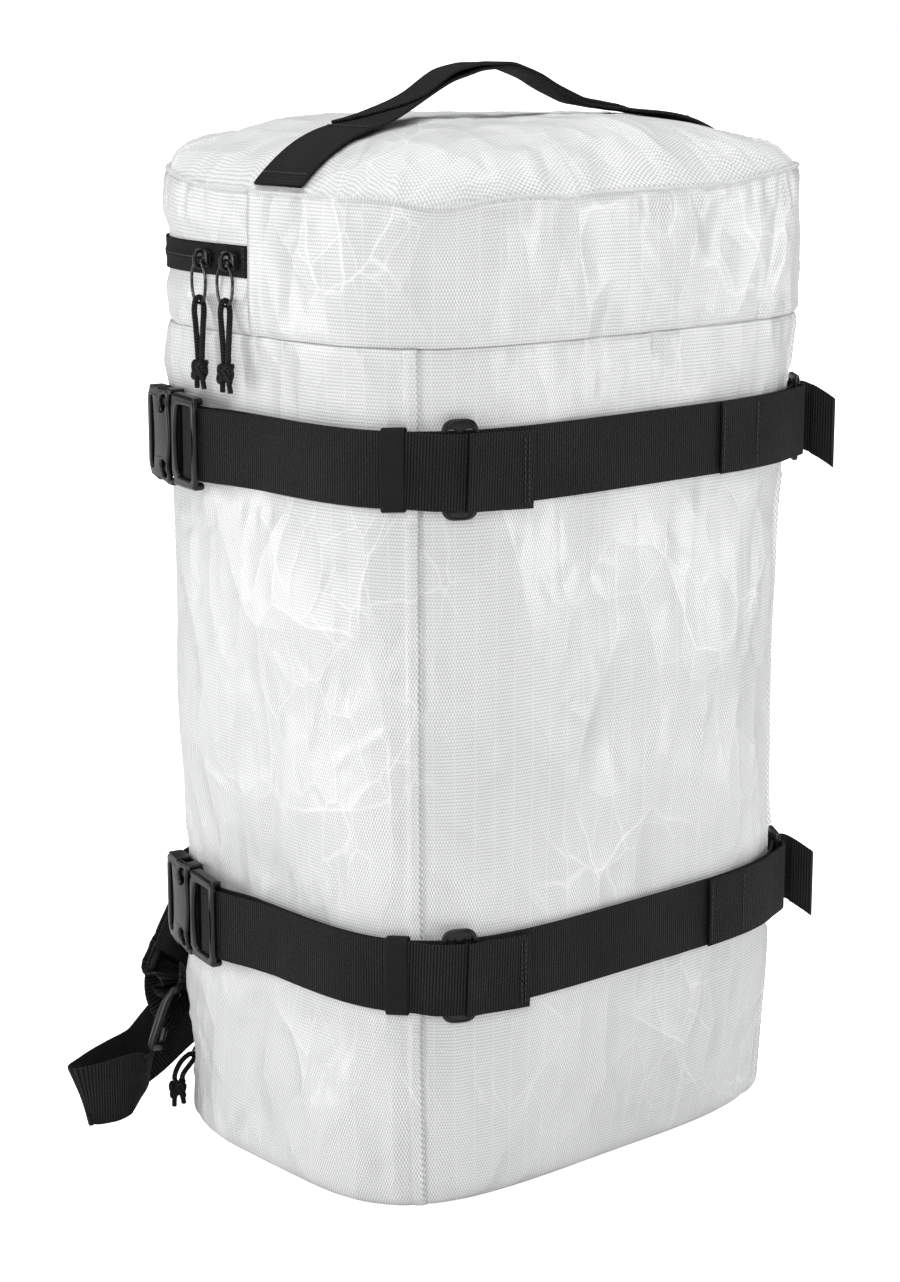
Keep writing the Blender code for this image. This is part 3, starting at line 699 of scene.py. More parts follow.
# ---------------------------------------------------------------- cords come first
KNOT_TOP = -0.0510
KNOT_END = -0.0660
KNOT_CENTRE = (0.0, 0.0062)
BASE_KNOT_TOP = 0.0185
BASE_KNOT_END = 0.0035
BASE_KNOT_CENTRE = (-0.1385, 0.1004)
CORD_D = 0.003
PULL_ROUTE = [
    (0.0018, 0.0062, KNOT_TOP + 0.0003), (0.0018, 0.0064, -0.046), (0.0018, 0.0068, -0.040),
    (0.0015, 0.0075, -0.033), (0.0008, 0.0085, -0.027), (0.0, 0.00885, -0.0235),
    (0.0, 0.0080, -0.0204), (0.0, 0.0062, -0.0194), (0.0, 0.0044, -0.0204),
    (0.0, 0.00355, -0.0235), (-0.0008, 0.0039, -0.027), (-0.0015, 0.0049, -0.033),
    (-0.0018, 0.0056, -0.040), (-0.0018, 0.0060, -0.046), (-0.0018, 0.0062, KNOT_TOP + 0.0003),
]
BASE_ROUTE = [
    (-0.1400, 0.1020, 0.0188), (-0.1399, 0.1022, 0.0202), (-0.1383, 0.1037, 0.0216),
    (-0.1345, 0.1070, 0.0228), (-0.1290, 0.1105, 0.0246), (-0.1226, 0.1128, 0.0260),
    (-0.1195, 0.1124, 0.0260), (-0.1183, 0.1107, 0.0260), (-0.1189, 0.1088, 0.0260),
    (-0.1218, 0.1075, 0.0255), (-0.1275, 0.1045, 0.0238), (-0.1330, 0.1016, 0.0222),
    (-0.1360, 0.0997, 0.0211), (-0.1369, 0.0989, 0.0200), (-0.1370, 0.0988, 0.0188),
]
SLIDERS = {"front": (0.008, 0.0), "rear": (0.030, 4.0)}
BASE_SLIDER = (-0.098, 8.5)
BASE_ZIP_Z = 0.026
QUARTER_TURN = Matrix.Rotation(math.radians(90), 4, "Y")


def slider_frame(name):
    if name == "base":
        x, tilt = BASE_SLIDER
        return frame_at(Vector((x, back_y(x, BASE_ZIP_Z), BASE_ZIP_Z)), tilt) @ QUARTER_TURN
    y, tilt = SLIDERS[name]
    return frame_at(Vector((-side_x(y, ZIP_Z), y, ZIP_Z)), 90 - tilt)


def cord(name, points, body):
    path = spaced(smooth_path(points, 6), 0.0011)
    mesh = tube_mesh(f"{name}_braid", path, CORD_D / 2, 12)
    made = finish(f"{name}_braid", mesh, CORD, body, "cord", name)


def knot(name, place, centre, top, end, body, replaced):
    """An overhand knot tied in two cords side by side, with its two short tails."""
    drop = top - end

    def strand(points):
        """Points given as across, out and the share of the knot's height below its top."""
        return [Vector((centre[0] + x, centre[1] + y, top - drop * share)) for x, y, share in
                points]

    parts = []
    for twin in (-1, 1):
        loop = []
        for k in range(64):
            t = 2 * math.pi * k / 64
            loop.append(Vector((
                centre[0] + 0.00178 * (math.sin(t) + 2 * math.sin(2 * t)) * 0.86 + twin * 0.0003,
                centre[1] + 0.00128 * (math.cos(t) - 2 * math.cos(2 * t)) * 0.80,
                top - drop * 0.36 + 0.0031 * math.sin(3 * t + twin * 0.5) * 0.9
                - twin * 0.0011)))
        lean = twin * 0.0024
        tail = smooth_path(strand([(twin * 0.0012, 0, 0.40), (lean, 0.0004, 0.62),
                                   (lean * 1.25, 0.0002, 0.80), (lean * 1.35, 0, 0.93),
                                   (lean * 1.38, 0, 1.0)]), 4)
        radii = [0.00140] * (len(tail) - 2) + [0.00135, 0.0010]
        neck = smooth_path(strand([(twin * 0.0018, 0, -0.0133), (twin * 0.0016, 0, 0.12),
                                   (twin * 0.0006, 0, 0.25)]), 3)
        for path, radius in ((loop, 0.00135), (tail, radii), (neck, 0.00142)):
            parts.append(tube_mesh("part", [place @ p for p in path], radius, 10,
                                   closed=path is loop))
    return finish(name, join_meshes(name, parts), CORD, body, "cord", replaced)


def pulls():
    for name in SLIDERS:
        place = slider_frame(name)
        tied = knot(f"{name}_knot_tied", place, KNOT_CENTRE, KNOT_TOP, KNOT_END, f"{name}_pull",
                    f"{name}_pull_knot")
        cord(f"{name}_pull_cord", [place @ Vector(p) for p in PULL_ROUTE],
             f"{name}_pull")
    tied = knot("base_knot_tied", Matrix.Identity(4), BASE_KNOT_CENTRE, BASE_KNOT_TOP,
                BASE_KNOT_END, "base_pull", "base_pull_knot")
    cord("base_pull_cord", BASE_ROUTE, "base_pull")


# ---------------------------------------------------------------- wrinkled cloth
class Creases:
    """Sharp folds set into laminated cloth, as tent-shaped ridges and valleys."""

    def __init__(self, seed):
        self.dice = np.random.default_rng(seed)
        self.rows = []

    def scatter(self, count, low, high, angles, lengths, widths, height):
        """Folds at random places between two corners."""
        pick = self.dice.uniform
        for _ in range(count):
            sign = 1 if self.dice.random() < 0.5 else -1
            self.rows.append((pick(low[0], high[0]), pick(low[1], high[1]), pick(*angles),
                              pick(*lengths), pick(*widths), sign * height * pick(0.4, 1.0)))

    def along(self, start, end, count, depth, height, slant=15.0, width=(0.002, 0.005)):
        """Short folds that run away from a seam, standing across it."""
        pick = self.dice.uniform
        start = np.array(start)
        end = np.array(end)
        across = math.degrees(math.atan2(*(end - start)[::-1])) + 90
        normal = np.array([math.cos(math.radians(across)), math.sin(math.radians(across))])
        for _ in range(count):
            at = start + (end - start) * self.dice.random()
            reach = pick(0.5, 1.0) * depth
            at = at + normal * reach * 0.35
            self.rows.append((*at, across + pick(-slant, slant), reach, pick(*width),
                              height * pick(-1.0, 1.0)))

    def heights(self, x, y):
        total = np.zeros_like(x)
        for x0, y0, angle, length, width, height in self.rows:
            near = (np.abs(x - x0) < length) & (np.abs(y - y0) < length)
            if not near.any():
                continue
            dx = x[near] - x0
            dy = y[near] - y0
            c, s = math.cos(math.radians(angle)), math.sin(math.radians(angle))
            window = 1 - soft_step(np.abs(dx * c + dy * s), 0, length * 0.6)
            d = np.clip(1 - np.abs(-dx * s + dy * c) / (width * (0.35 + 0.65 * window)), 0, 1)
            total[near] += height * d * window
        return total


def ripple(x, y, seed, size):
    """Smooth random hills of about the given size, from -1 to 1."""
    pick = np.random.default_rng(seed).uniform
    total = np.zeros_like(x)
    weight = 0.0
    for octave in range(3):
        share = 0.5 ** octave
        for _ in range(7):
            angle = pick(0, 2 * math.pi)
            pitch = size * 0.55 ** octave * pick(0.7, 1.5)
            phase = pick(0, 2 * math.pi)
            total += share * np.sin((x * math.cos(angle) + y * math.sin(angle)) * 2 * math.pi
                                    / pitch + phase)
            weight += share
    return total / (weight ** 0.5) / 1.6


def columns_for(start, end, step, seams):
    """Bearings spaced by about step metres, with extra ones close to each seam."""
    total = run_round(end) - run_round(start)
    run = np.linspace(0, total, int(total / step) + 1) + run_round(start)
    near = np.array([-0.009, -0.0065, -0.0055, -0.0045, -0.003, -0.0015, -0.0005, 0.0,
                     0.0004, 0.0012, 0.0025, 0.0045, 0.007])
    for seam in seams:
        middle = run_round(seam)
        run = np.concatenate([run[np.abs(run - middle) > 0.0095], middle + near])
    run = np.sort(run)
    run = run[(run >= run_round(start) - 1e-9) & (run <= run_round(end) + 1e-9)]
    fine = np.linspace(start - 5, end + 5, 8000)
    return np.interp(run, run_round(fine), fine), run


def lap(distance):
    """The raised fold of cloth lying beside a seam: a flat welt with a groove at the seam."""
    rise = soft_step(distance, -0.0062, -0.0046) * (1 - soft_step(distance, -0.0003, 0.0004))
    return 0.0019 * rise - 0.0027 * hump(distance, 0.0013, 0.0009)


def belt_hug(z):
    """How far from a belt: 0 under a belt, 1 well clear of it."""
    clear = np.ones_like(z)
    for middle in BELTS.values():
        clear = np.minimum(clear, soft_step(np.abs(z - middle), WEB / 2 - 0.001, WEB / 2 + 0.022))
    return clear


def thicken(made, thickness, offset=-1):
    skin = made.modifiers.new("cloth thickness", "SOLIDIFY")
    skin.thickness = thickness
    skin.offset = offset


def wall_folds(edges):
    """Folds set into the four panels: long ones, short ones and puckers at the seams."""
    folds = Creases(11)
    for first, last in zip(edges[:-1], edges[1:]):
        for count, low, high, angles, lengths, widths, height in (
                (26, 0.02, 0.44, (50, 130), (0.05, 0.12), (0.006, 0.014), 0.0022),
                (60, 0.01, 0.45, (20, 160), (0.018, 0.05), (0.0030, 0.007), 0.0014),
                (90, 0.01, 0.45, (0, 180), (0.008, 0.022), (0.0018, 0.0035), 0.0006)):
            folds.scatter(count, (first + 0.01, low), (last - 0.01, high), angles, lengths,
                          widths, height)
        for middle in BELTS.values():
            for start, end, z in ((last, first, middle - WEB / 2 - 0.004),
                                  (first, last, middle + WEB / 2 + 0.004)):
                folds.along((start, z), (end, z), 26, 0.030, 0.0013)
        folds.along((last, BAND_Z), (first, BAND_Z), 34, 0.026, 0.0014)
        folds.along((first, 0.012), (last, 0.012), 30, 0.028, 0.0012)
        folds.along((first + 0.002, 0.44), (first + 0.002, 0.02), 46, 0.020, 0.0007, 35)
        folds.along((last - 0.007, 0.02), (last - 0.007, 0.44), 46, 0.020, 0.0007, 35)
    return folds


def swell(z, low, high):
    """A smooth outward curve from one height to another."""
    return np.sin(np.clip((z - low) / (high - low), 0, 1) * math.pi)


def walls():
    start = CORNER - 200.0
    degrees, run = columns_for(start, start + 360.0, 0.0026,
                               [CORNER, 180 - CORNER, -CORNER, CORNER - 180])
    rows = np.concatenate([[0.0, 0.0006, 0.002, 0.004, 0.0065, 0.009, BASE_ROUND],
                           np.arange(0.0145, BAND_Z - 0.007, 0.0025),
                           BAND_Z - np.array([0.0055, 0.0042, 0.003, 0.002, 0.001, 0.0004]),
                           BAND_Z + np.array([0.0002, 0.0030])])
    d, z = np.meshgrid(degrees[:-1], rows)
    s, _ = np.meshgrid(run[:-1], rows)
    edges = [float(run_round(v)) for v in (CORNER - 180, -CORNER, CORNER, 180 - CORNER,
                                           180 + CORNER)]
    folds = wall_folds(edges)
    period = edges[4] - edges[0]
    fold = folds.heights(s, z) + folds.heights(s - period, z) + folds.heights(s + period, z)
    angle = (s - edges[0]) / period * 2 * math.pi
    bulge = 0.0016 * ripple(np.cos(angle) * 0.17, z + 0.1 * np.sin(angle), 5, 0.19)
    puff = 0.0020 * swell(z, 0.155, 0.37) + 0.0012 * swell(z, 0.01, 0.105)
    clear = belt_hug(z)
    out = (fold + bulge + puff) * (0.12 + 0.88 * clear)
    for edge in [edges[0] - period] + edges + [edges[1] + period]:
        out = out * (1 - 0.75 * hump(s, edge, 0.0060)) + lap(s - edge)
    out -= 0.0009 * hump(z, BAND_Z, 0.0022)
    out *= soft_step(z, -0.006, 0.012)
    at_base_zip = ((np.cos(np.radians(d - 90.0)) > 0.55)
                   * (1 - soft_step(np.abs(z - BASE_ZIP_Z), 0.010, 0.022)))
    out = out * (1 - at_base_zip)
    out = np.where(clear < 0.5, np.minimum(out, 0.0010), np.clip(out, -0.006, 0.0042))
    # The seam allowance stands up behind the band, so no light comes through the seam.
    out = np.where(z > BAND_Z, -0.0030, out)
    mesh = grid_mesh("walls_cloth", wall_points(d, z, out), np.stack([s, z], axis=-1), wrap=True)
    made = finish("walls_cloth", mesh, CLOTH, "bag", "sailcloth", "right_panel", "back_panel",
                  "left_panel", "front_panel")
    thicken(made, WALL_CLOTH)


def base_panel():
    rings = []
    for share in (1.0, 0.96, 0.9, 0.75, 0.5, 0.25, 0.02):
        ring = wall_points(np.linspace(0, 360, 145)[:-1], 0.0) * share
        rise = 0.5 + 0.5 * ripple(ring[:, 0], ring[:, 1], 9, 0.12)
        ring[:, 2] = np.maximum(0.0012 * soft_step(1 - share, 0.0, 0.2) * rise, 0.0)
        rings.append(ring)
    rings = np.array(rings)
    mesh = grid_mesh("base_cloth", rings, rings[..., :2], wrap=True)
    made = finish("base_cloth", mesh, CLOTH, "bag", "sailcloth", "bottom_panel")
    thicken(made, BASE_CLOTH, 1)


def seam_drop(degrees):
    """How far the seam round the top sags at each bearing; it stands high where this is below
    nothing."""
    turned = np.asarray(degrees) % 360
    drop = (0.0046 * hump(turned, 222, 7) + 0.0016 * hump(turned, 247, 5)
            + 0.0016 * hump(turned, 60, 8))
    drop -= 0.0070 * soft_step(turned, 288, 324) * (1 - soft_step(turned, 326, 352))
    drop -= 0.0095 * soft_step(turned, 108, 134) * (1 - soft_step(turned, 141, 176))
    return drop


def band_piece(name, first, last, low, high, seed, replaced, body):
    """A strip of the band below or above the zip, or the whole band round the front."""
    degrees, run = columns_for(first, last, 0.0024, [])
    rows = np.concatenate([[low, low + 0.0006], np.arange(low + 0.0022, high - 0.002, 0.0022),
                           [high - 0.0012, high - 0.0004, high]])
    d, z = np.meshgrid(degrees, rows)
    s, _ = np.meshgrid(run, rows)
    folds = Creases(seed)
    start, end = float(run[0]), float(run[-1])
    share = (end - start) / 0.5
    folds.scatter(int(10 * share), (start, BAND_Z), (end, SEAM_Z), (55, 125), (0.03, 0.07),
                  (0.007, 0.014), 0.0020)
    folds.scatter(int(70 * share), (start, BAND_Z), (end, SEAM_Z), (20, 160), (0.015, 0.04),
                  (0.0025, 0.006), 0.0010)
    folds.along((end, SEAM_Z), (start, SEAM_Z), int(46 * share), 0.034, 0.0019, 12,
                (0.003, 0.007))
    folds.along((start, BAND_Z), (end, BAND_Z), int(46 * share), 0.022, 0.0013, 14)
    out = folds.heights(s, z)
    out += 0.0024 * swell(z, BAND_Z, SEAM_Z) ** 0.8 + 0.0012 * ripple(s, z, seed + 1, 0.09)
    out *= 1 - 0.8 * hump(z, SEAM_Z, 0.0025)
    out -= 0.0010 * hump(z, BAND_Z, 0.0016)
    if low > ZIP_Z - 0.02 or high < ZIP_Z + 0.02:
        out *= soft_step(np.abs(z - ZIP_Z), 0.0090, 0.0200)
    for edge in (start, end):
        out *= 1 - 0.7 * hump(s, edge, 0.004)
    if name == "band_cloth_front":
        for inside in (s - start, end - s):
            out += 0.0010 * (1 - soft_step(inside, 0.0048, 0.0062))
    points = wall_points(d, z, np.clip(out, -0.006, 0.0062))
    points[..., 2] -= seam_drop(d) * soft_step(z, SEAM_Z - 0.035, SEAM_Z)
    mesh = grid_mesh(name, points, np.stack([s, z], axis=-1))
    made = finish(name, mesh, CLOTH, body, "sailcloth", replaced)
    thicken(made, LID_CLOTH)
    return made


ZIP_GAP = 0.0055


def with_lid(made):
    """Bakes a piece's placement into its mesh."""
    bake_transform(made)


def split_bearings(z, shift=0.0):
    """Where the squared ends of the lid's zip are, on the left and on the right."""
    a, _ = half_size(z)
    return bearing(-a, SPLIT_Y + shift), bearing(a, SPLIT_Y + shift)


def bands():
    left, right = split_bearings(ZIP_Z)
    band_piece("band_cloth_front", left, right, BAND_Z, SEAM_Z, 21, "band_front", "bag")
    band_piece("band_cloth_rear", right - 360, left, BAND_Z, ZIP_Z - ZIP_GAP, 31, "band_rear",
               "bag")
    with_lid(band_piece("lid_cloth_band", right - 360, left, ZIP_Z + ZIP_GAP, SEAM_Z, 41,
                        "lid_band", None))


def crown(x, y):
    a, b = half_size(SEAM_Z)
    rim = (np.abs(x / a) ** SQUARENESS + np.abs(y / b) ** SQUARENESS) ** (1 / SQUARENESS)
    return SEAM_Z + CROWN * (1 - np.minimum(rim, 1.0) ** CROWN_POWER)


def top_folds():
    """Folds all over the top, and puckers that run in from its seam."""
    folds = Creases(51)
    folds.scatter(34, (-0.15, -0.115), (0.15, 0.115), (0, 180), (0.05, 0.13), (0.006, 0.013),
                  0.0016)
    folds.scatter(110, (-0.155, -0.12), (0.155, 0.12), (0, 180), (0.02, 0.05), (0.003, 0.006),
                  0.0009)
    pick = np.random.default_rng(52).uniform
    for _ in range(120):
        edge = wall_point(pick(0, 360), SEAM_Z)
        reach = pick(0.02, 0.06)
        inward = math.degrees(math.atan2(-edge.y, -edge.x)) + pick(-28, 28)
        folds.rows.append((edge.x + reach * 0.45 * math.cos(math.radians(inward)),
                           edge.y + reach * 0.45 * math.sin(math.radians(inward)), inward, reach,
                           pick(0.003, 0.008), pick(-1, 1) * 0.0022))
    return folds


def top():
    degrees = np.linspace(0, 360, 481)[:-1]
    shares = np.concatenate([np.linspace(0.004, 0.9, 46), np.linspace(0.9, 0.985, 12)[1:],
                             [0.991, 0.996, 1.0]])
    rim = wall_points(degrees, SEAM_Z, -0.0002)
    d, share = np.meshgrid(degrees, shares)
    x = share * rim[:, 0]
    y = share * rim[:, 1]
    smooth = crown(x, y)
    z = smooth + top_folds().heights(x, y) + 0.0015 * ripple(x, y, 53, 0.12)
    z -= 0.0016 * soft_step(share, 0.93, 1.0) + seam_drop(d) * soft_step(share, 0.80, 1.0)
    settle = soft_step(share, 0.985, 1.0)
    z = z * (1 - settle) + settle * (SEAM_Z - 0.0006 - seam_drop(d))
    under_handle = (np.abs(y - HANDLE_Y) < 0.025) & ((x < -0.09) | (x > 0.05))
    z = np.where(under_handle, np.minimum(z, smooth + 0.0004), z)
    mesh = grid_mesh("top_cloth", np.stack([x, y, z], axis=-1), np.stack([y, x], axis=-1),
                     wrap=True)
    fill_pole(mesh)
    made = finish("top_cloth", mesh, CLOTH_TOP, None, "sailcloth", "top_panel_front",
                  "top_panel_rear")
    thicken(made, LID_CLOTH)
    with_lid(made)


def fill_pole(mesh):
    """Closes the small hole in the middle of the top."""
    bm = bmesh.new()
    bm.from_mesh(mesh)
    edges = [e for e in bm.edges if e.is_boundary and
             max(abs(e.verts[0].co.x), abs(e.verts[0].co.y)) < 0.01]
    bmesh.ops.contextual_create(bm, geom=edges)
    bm.to_mesh(mesh)
    bm.free()


def seam_welts():
    """The folded edge of cloth that stands round the top seam, on the bag and on the lid."""
    left, right = split_bearings(SEAM_Z)
    for name, first, last, body in (("seam_welt_front", left + 0.1, right - 0.1, "bag"),
                                    ("seam_welt_rear", right - 359.9, left - 0.1, "lid")):
        around = np.linspace(first, last, 220)
        rim = wall_points(around, SEAM_Z - seam_drop(around), 0.0003)
        mesh = tube_mesh(name, [Vector(p) for p in rim.tolist()], 0.00105, 8)
        finish(name, mesh, CLOTH_TOP, body, "sailcloth")


# ---------------------------------------------------------------- handle
HANDLE_FOOT_X = 0.1570
HANDLE_CLEAR = 0.0021
GRIP = [(-0.1300, 0.5440), (-0.1112, 0.5508), (-0.0899, 0.5583), (-0.0735, 0.5641),
        (-0.0529, 0.5742), (-0.0312, 0.5799), (-0.0113, 0.5812), (0.0069, 0.5763),
        (0.0212, 0.5694), (0.0393, 0.5623), (0.0585, 0.5592), (0.0700, 0.5580)]


def handle_z(x):
    """Height of the webbing's middle: on the top near its feet, free of it along the grip."""
    before, here, after = [float(crown(v, HANDLE_Y)) for v in (x - 0.001, x, x + 0.001)]
    slope = (after - before) / 0.002
    z = here + HANDLE_CLEAR * math.hypot(1, min(abs(slope), 1.2))
    if GRIP[0][0] < x < GRIP[-1][0]:
        z = max(z, float(np.interp(x, *zip(*GRIP))))
    return z


def handle():
    """One length of webbing, flat at its feet; along the grip one half is folded over the other."""
    half = WEB / 2
    main, main_width, flap, flap_width = [], [], [], []
    across = Vector((0, 1, 0))
    points = [Vector((x, HANDLE_Y, handle_z(x))) for x in
              (HANDLE_FOOT_X * math.sin(v * math.pi / 2) for v in span(-1.0, 1.0, 49))]
    for point in spaced(smooth_path(points, 3), 0.0022):
        x = point.x
        crease = half * min(float(1 - soft_step(x, -0.118, -0.066) + soft_step(x, 0.052, 0.110)),
                            1.0)
        sway = 0.0022 * math.sin((x + 0.157) * 60) * (1 - soft_step(abs(x + 0.11), 0.0, 0.045))
        point = point + across * float(sway)
        main.append(point)
        main_width.append(half + crease)
        if half - crease > 0.0015:
            lift = 0.0018 + 0.0022 * float(hump(x, -0.046, 0.016))
            flap.append(point + across * crease + UP * lift)
            flap_width.append(half - crease)
    bend = [point + across * width / 2 + UP * 0.0009 for point, width in
            zip(main, main_width) if width < WEB - 0.0015]
    parts = [ribbon_mesh("main", main, across, main_width, WEB_T),
             ribbon_mesh("flap", flap, across, flap_width, WEB_T),
             tube_mesh("bend", bend, 0.00165, 10, squash=0.8)]
    finish("handle_webbing", join_meshes("handle", parts), STRAP, "bag", "webbing", "handle")
    lines = []
    for x in (-0.1515, -0.112, 0.112, 0.1515):
        row = min(range(len(main)), key=lambda i: abs(main[i].x - x))
        side = across * (main_width[row] / 2 - 0.002)
        raised = UP * (0.0012 if main_width[row] > WEB - 0.002 else 0.0034)
        lines.append(([main[row] - side + raised, main[row] + side + raised], UP))
    stitches("handle_stitches", lines, 0.0030, 0.00034)


# ---------------------------------------------------------------- zips
def tape_strip(name, bearings, inner, outer, body, replaced):
    """A zip tape between two heights, its inner edge rolled over beside the teeth."""
    z = np.linspace(min(inner, outer), max(inner, outer), 9)
    grid_d, grid_z = np.meshgrid(bearings, z)
    run, _ = np.meshgrid(run_round(bearings), z)
    bead = 0.0006 * hump(grid_z, inner, 0.0016)
    points = wall_points(grid_d, grid_z, 0.0015 + bead + 0.00015 * ripple(run, grid_z, 71, 0.02))
    mesh = grid_mesh(name, points, np.stack([grid_z, run], axis=-1))
    made = finish(name, mesh, TAPE_CLOTH, body, "tape", replaced)
    thicken(made, LID_CLOTH)
    return made


def teeth(name, bearings, z):
    """The zip's closed coil: small knuckles side by side along its middle."""
    pitch = 0.0016
    run = run_round(bearings)
    fine = np.arange(run[0], run[-1], pitch / 6)
    path = wall_points(np.interp(fine, run, bearings), z, 0.0012)
    radii = 0.00050 + 0.00022 * np.abs(np.sin(fine * math.pi / pitch))
    mesh = tube_mesh(name, [Vector(p) for p in path.tolist()], radii.tolist(), 6)
    finish(name, mesh, PLASTIC, "bag", "moulding")


def zips():
    end, start = split_bearings(ZIP_Z, 0.0015)
    start -= 360
    around = span(start, end, 260)
    tape_strip("zip_cloth_lower", around, ZIP_Z - 0.00045, ZIP_Z - TAPE, "bag", "zip_tape_lower")
    with_lid(tape_strip("zip_cloth_upper", around, ZIP_Z + 0.00045, ZIP_Z + TAPE, None,
                        "zip_tape_upper"))
    teeth("zip_teeth", around, ZIP_Z)
    edge = bearing(0.108, 0.0985)
    low_run = span(edge, 180 - edge, 120)
    for part, side in (("lower", -1), ("upper", 1)):
        tape_strip(f"base_zip_cloth_{part}", low_run, BASE_ZIP_Z + side * 0.0004,
                   BASE_ZIP_Z + side * TAPE, "bag", "base_zip_tape")
    teeth("base_zip_teeth", low_run, BASE_ZIP_Z)
    lines = []
    for last, direction in ((end, -1), (start, 1)):
        for back in (0.0012, 0.0026):
            angle = last + direction * back / 0.158 * 57.3
            path = [wall_point(angle, z, 0.0017) for z in span(ZIP_Z - 0.0074, ZIP_Z + 0.0074, 8)]
            lines.append((path, path[0].normalized()))
    stitches("zip_end_stitches", lines, 0.0018, 0.00028, "tape")


def slider_body(name):
    place = slider_frame(name)
    flat_place = place if name != "base" else place @ QUARTER_TURN.inverted()
    outline = round_corners([(-0.0060, -0.0030), (-0.0030, -0.0045), (0.0030, -0.0045),
                             (0.0060, -0.0028), (0.0060, 0.0028), (0.0030, 0.0045),
                             (-0.0030, 0.0045), (-0.0060, 0.0030)], 0.0012, 4)
    arch = smooth_path([(0, y, z) for y, z in (
        (0.0046, -0.0040), (0.0066, -0.0038), (0.0080, -0.0026), (0.0084, 0), (0.0080, 0.0026),
        (0.0066, 0.0038), (0.0046, 0.0040))], 4)
    ridge = [Vector((x, 0.0049, 0)) for x in (-0.0044, -0.0022, 0.0, 0.0022, 0.0044)]
    parts = [plate_mesh("top", outline, [], 0.0034, 0.0050, 0.0005),
             plate_mesh("under", outline, [], 0.0022, 0.0031, 0.0003),
             tube_mesh("bridge", [place @ p for p in arch], 0.0012, 10),
             tube_mesh("ridge", [flat_place @ p for p in ridge],
                       [0.0006, 0.0011, 0.0013, 0.0011, 0.0006], 8)]
    for part in parts[:2]:
        part.transform(flat_place)
    finish(f"{name}_slider_body", join_meshes("slider", parts), PLASTIC, f"{name}_slider",
           "moulding", f"{name}_slider")


def wire_ring(name):
    place = slider_frame(name)
    half, drop, pivot = 0.0065, 0.0224, 0.0062
    path = []
    for k in range(48):
        t = 2 * math.pi * k / 48
        z = (rounded(math.sin(t), 0.92) - 1) * drop / 2
        narrow = 1 - 0.22 * float(soft_step(z, -0.010, 0.0))
        path.append(place @ Vector((half * rounded(math.cos(t), 0.80) * narrow, pivot, z)))
    body = "base_pull" if name == "base" else f"{name}_ring"
    finish(f"{name}_wire_ring", tube_mesh("ring", path, 0.00082, 10, closed=True), METAL, body,
           "wire", f"{name}_ring")


# ---------------------------------------------------------------- belts
BUCKLE_Y = 0.062
BUCKLE_TILT = 12.0
BUCKLE_HALF = 0.0255
MALE_BAR = (-0.0175, 0.0061)
REAR_BAR = (0.0325, 0.0068)
TRIGLIDE = 224.3
KEEPER = (212.1, 216.2)
HEM = (227.0, 238.5)
HEM_DROP = 0.0024
OVERLAY_START = 293.0
OVERLAY = LAYER_2 + 0.0002
SIDE_LOCK = 326.0
SIDES = (-1, 1)
TAIL_LINE = [(0.0045, 0.0100), (0.0078, 0.0130), (0.0080, 0.0165), (0.0056, 0.0200),
             (0.0028, 0.0238), (0.0006, 0.0276)]
TAIL_DROOP = 0.0085


def buckle_frame(z):
    return frame_at(Vector((-side_x(BUCKLE_Y, z), BUCKLE_Y, z)), 90 - BUCKLE_TILT)


def on_frame(degrees, z):
    near = wall_point(degrees - 1, z)
    far = wall_point(degrees + 1, z)
    turn = math.degrees(math.atan2(far.y - near.y, far.x - near.x))
    return frame_at(wall_point(degrees, z), turn) @ Matrix.Rotation(math.pi, 4, "X")


def flat(place, points, z):
    return [Vector((*(place @ Vector((u, w, 0))).to_2d(), z)) for u, w in points]


def u_turn(centre, radius, start, end):
    return [(centre[0] + radius * math.cos(math.radians(d)),
             centre[1] + radius * math.sin(math.radians(d))) for d in span(start, end, 9)]


def bowed_in(u, w):
    """The female half and its strap bend in round the corner: w falls off with u squared."""
    return w - 3.0 * max(u, 0.0) ** 2


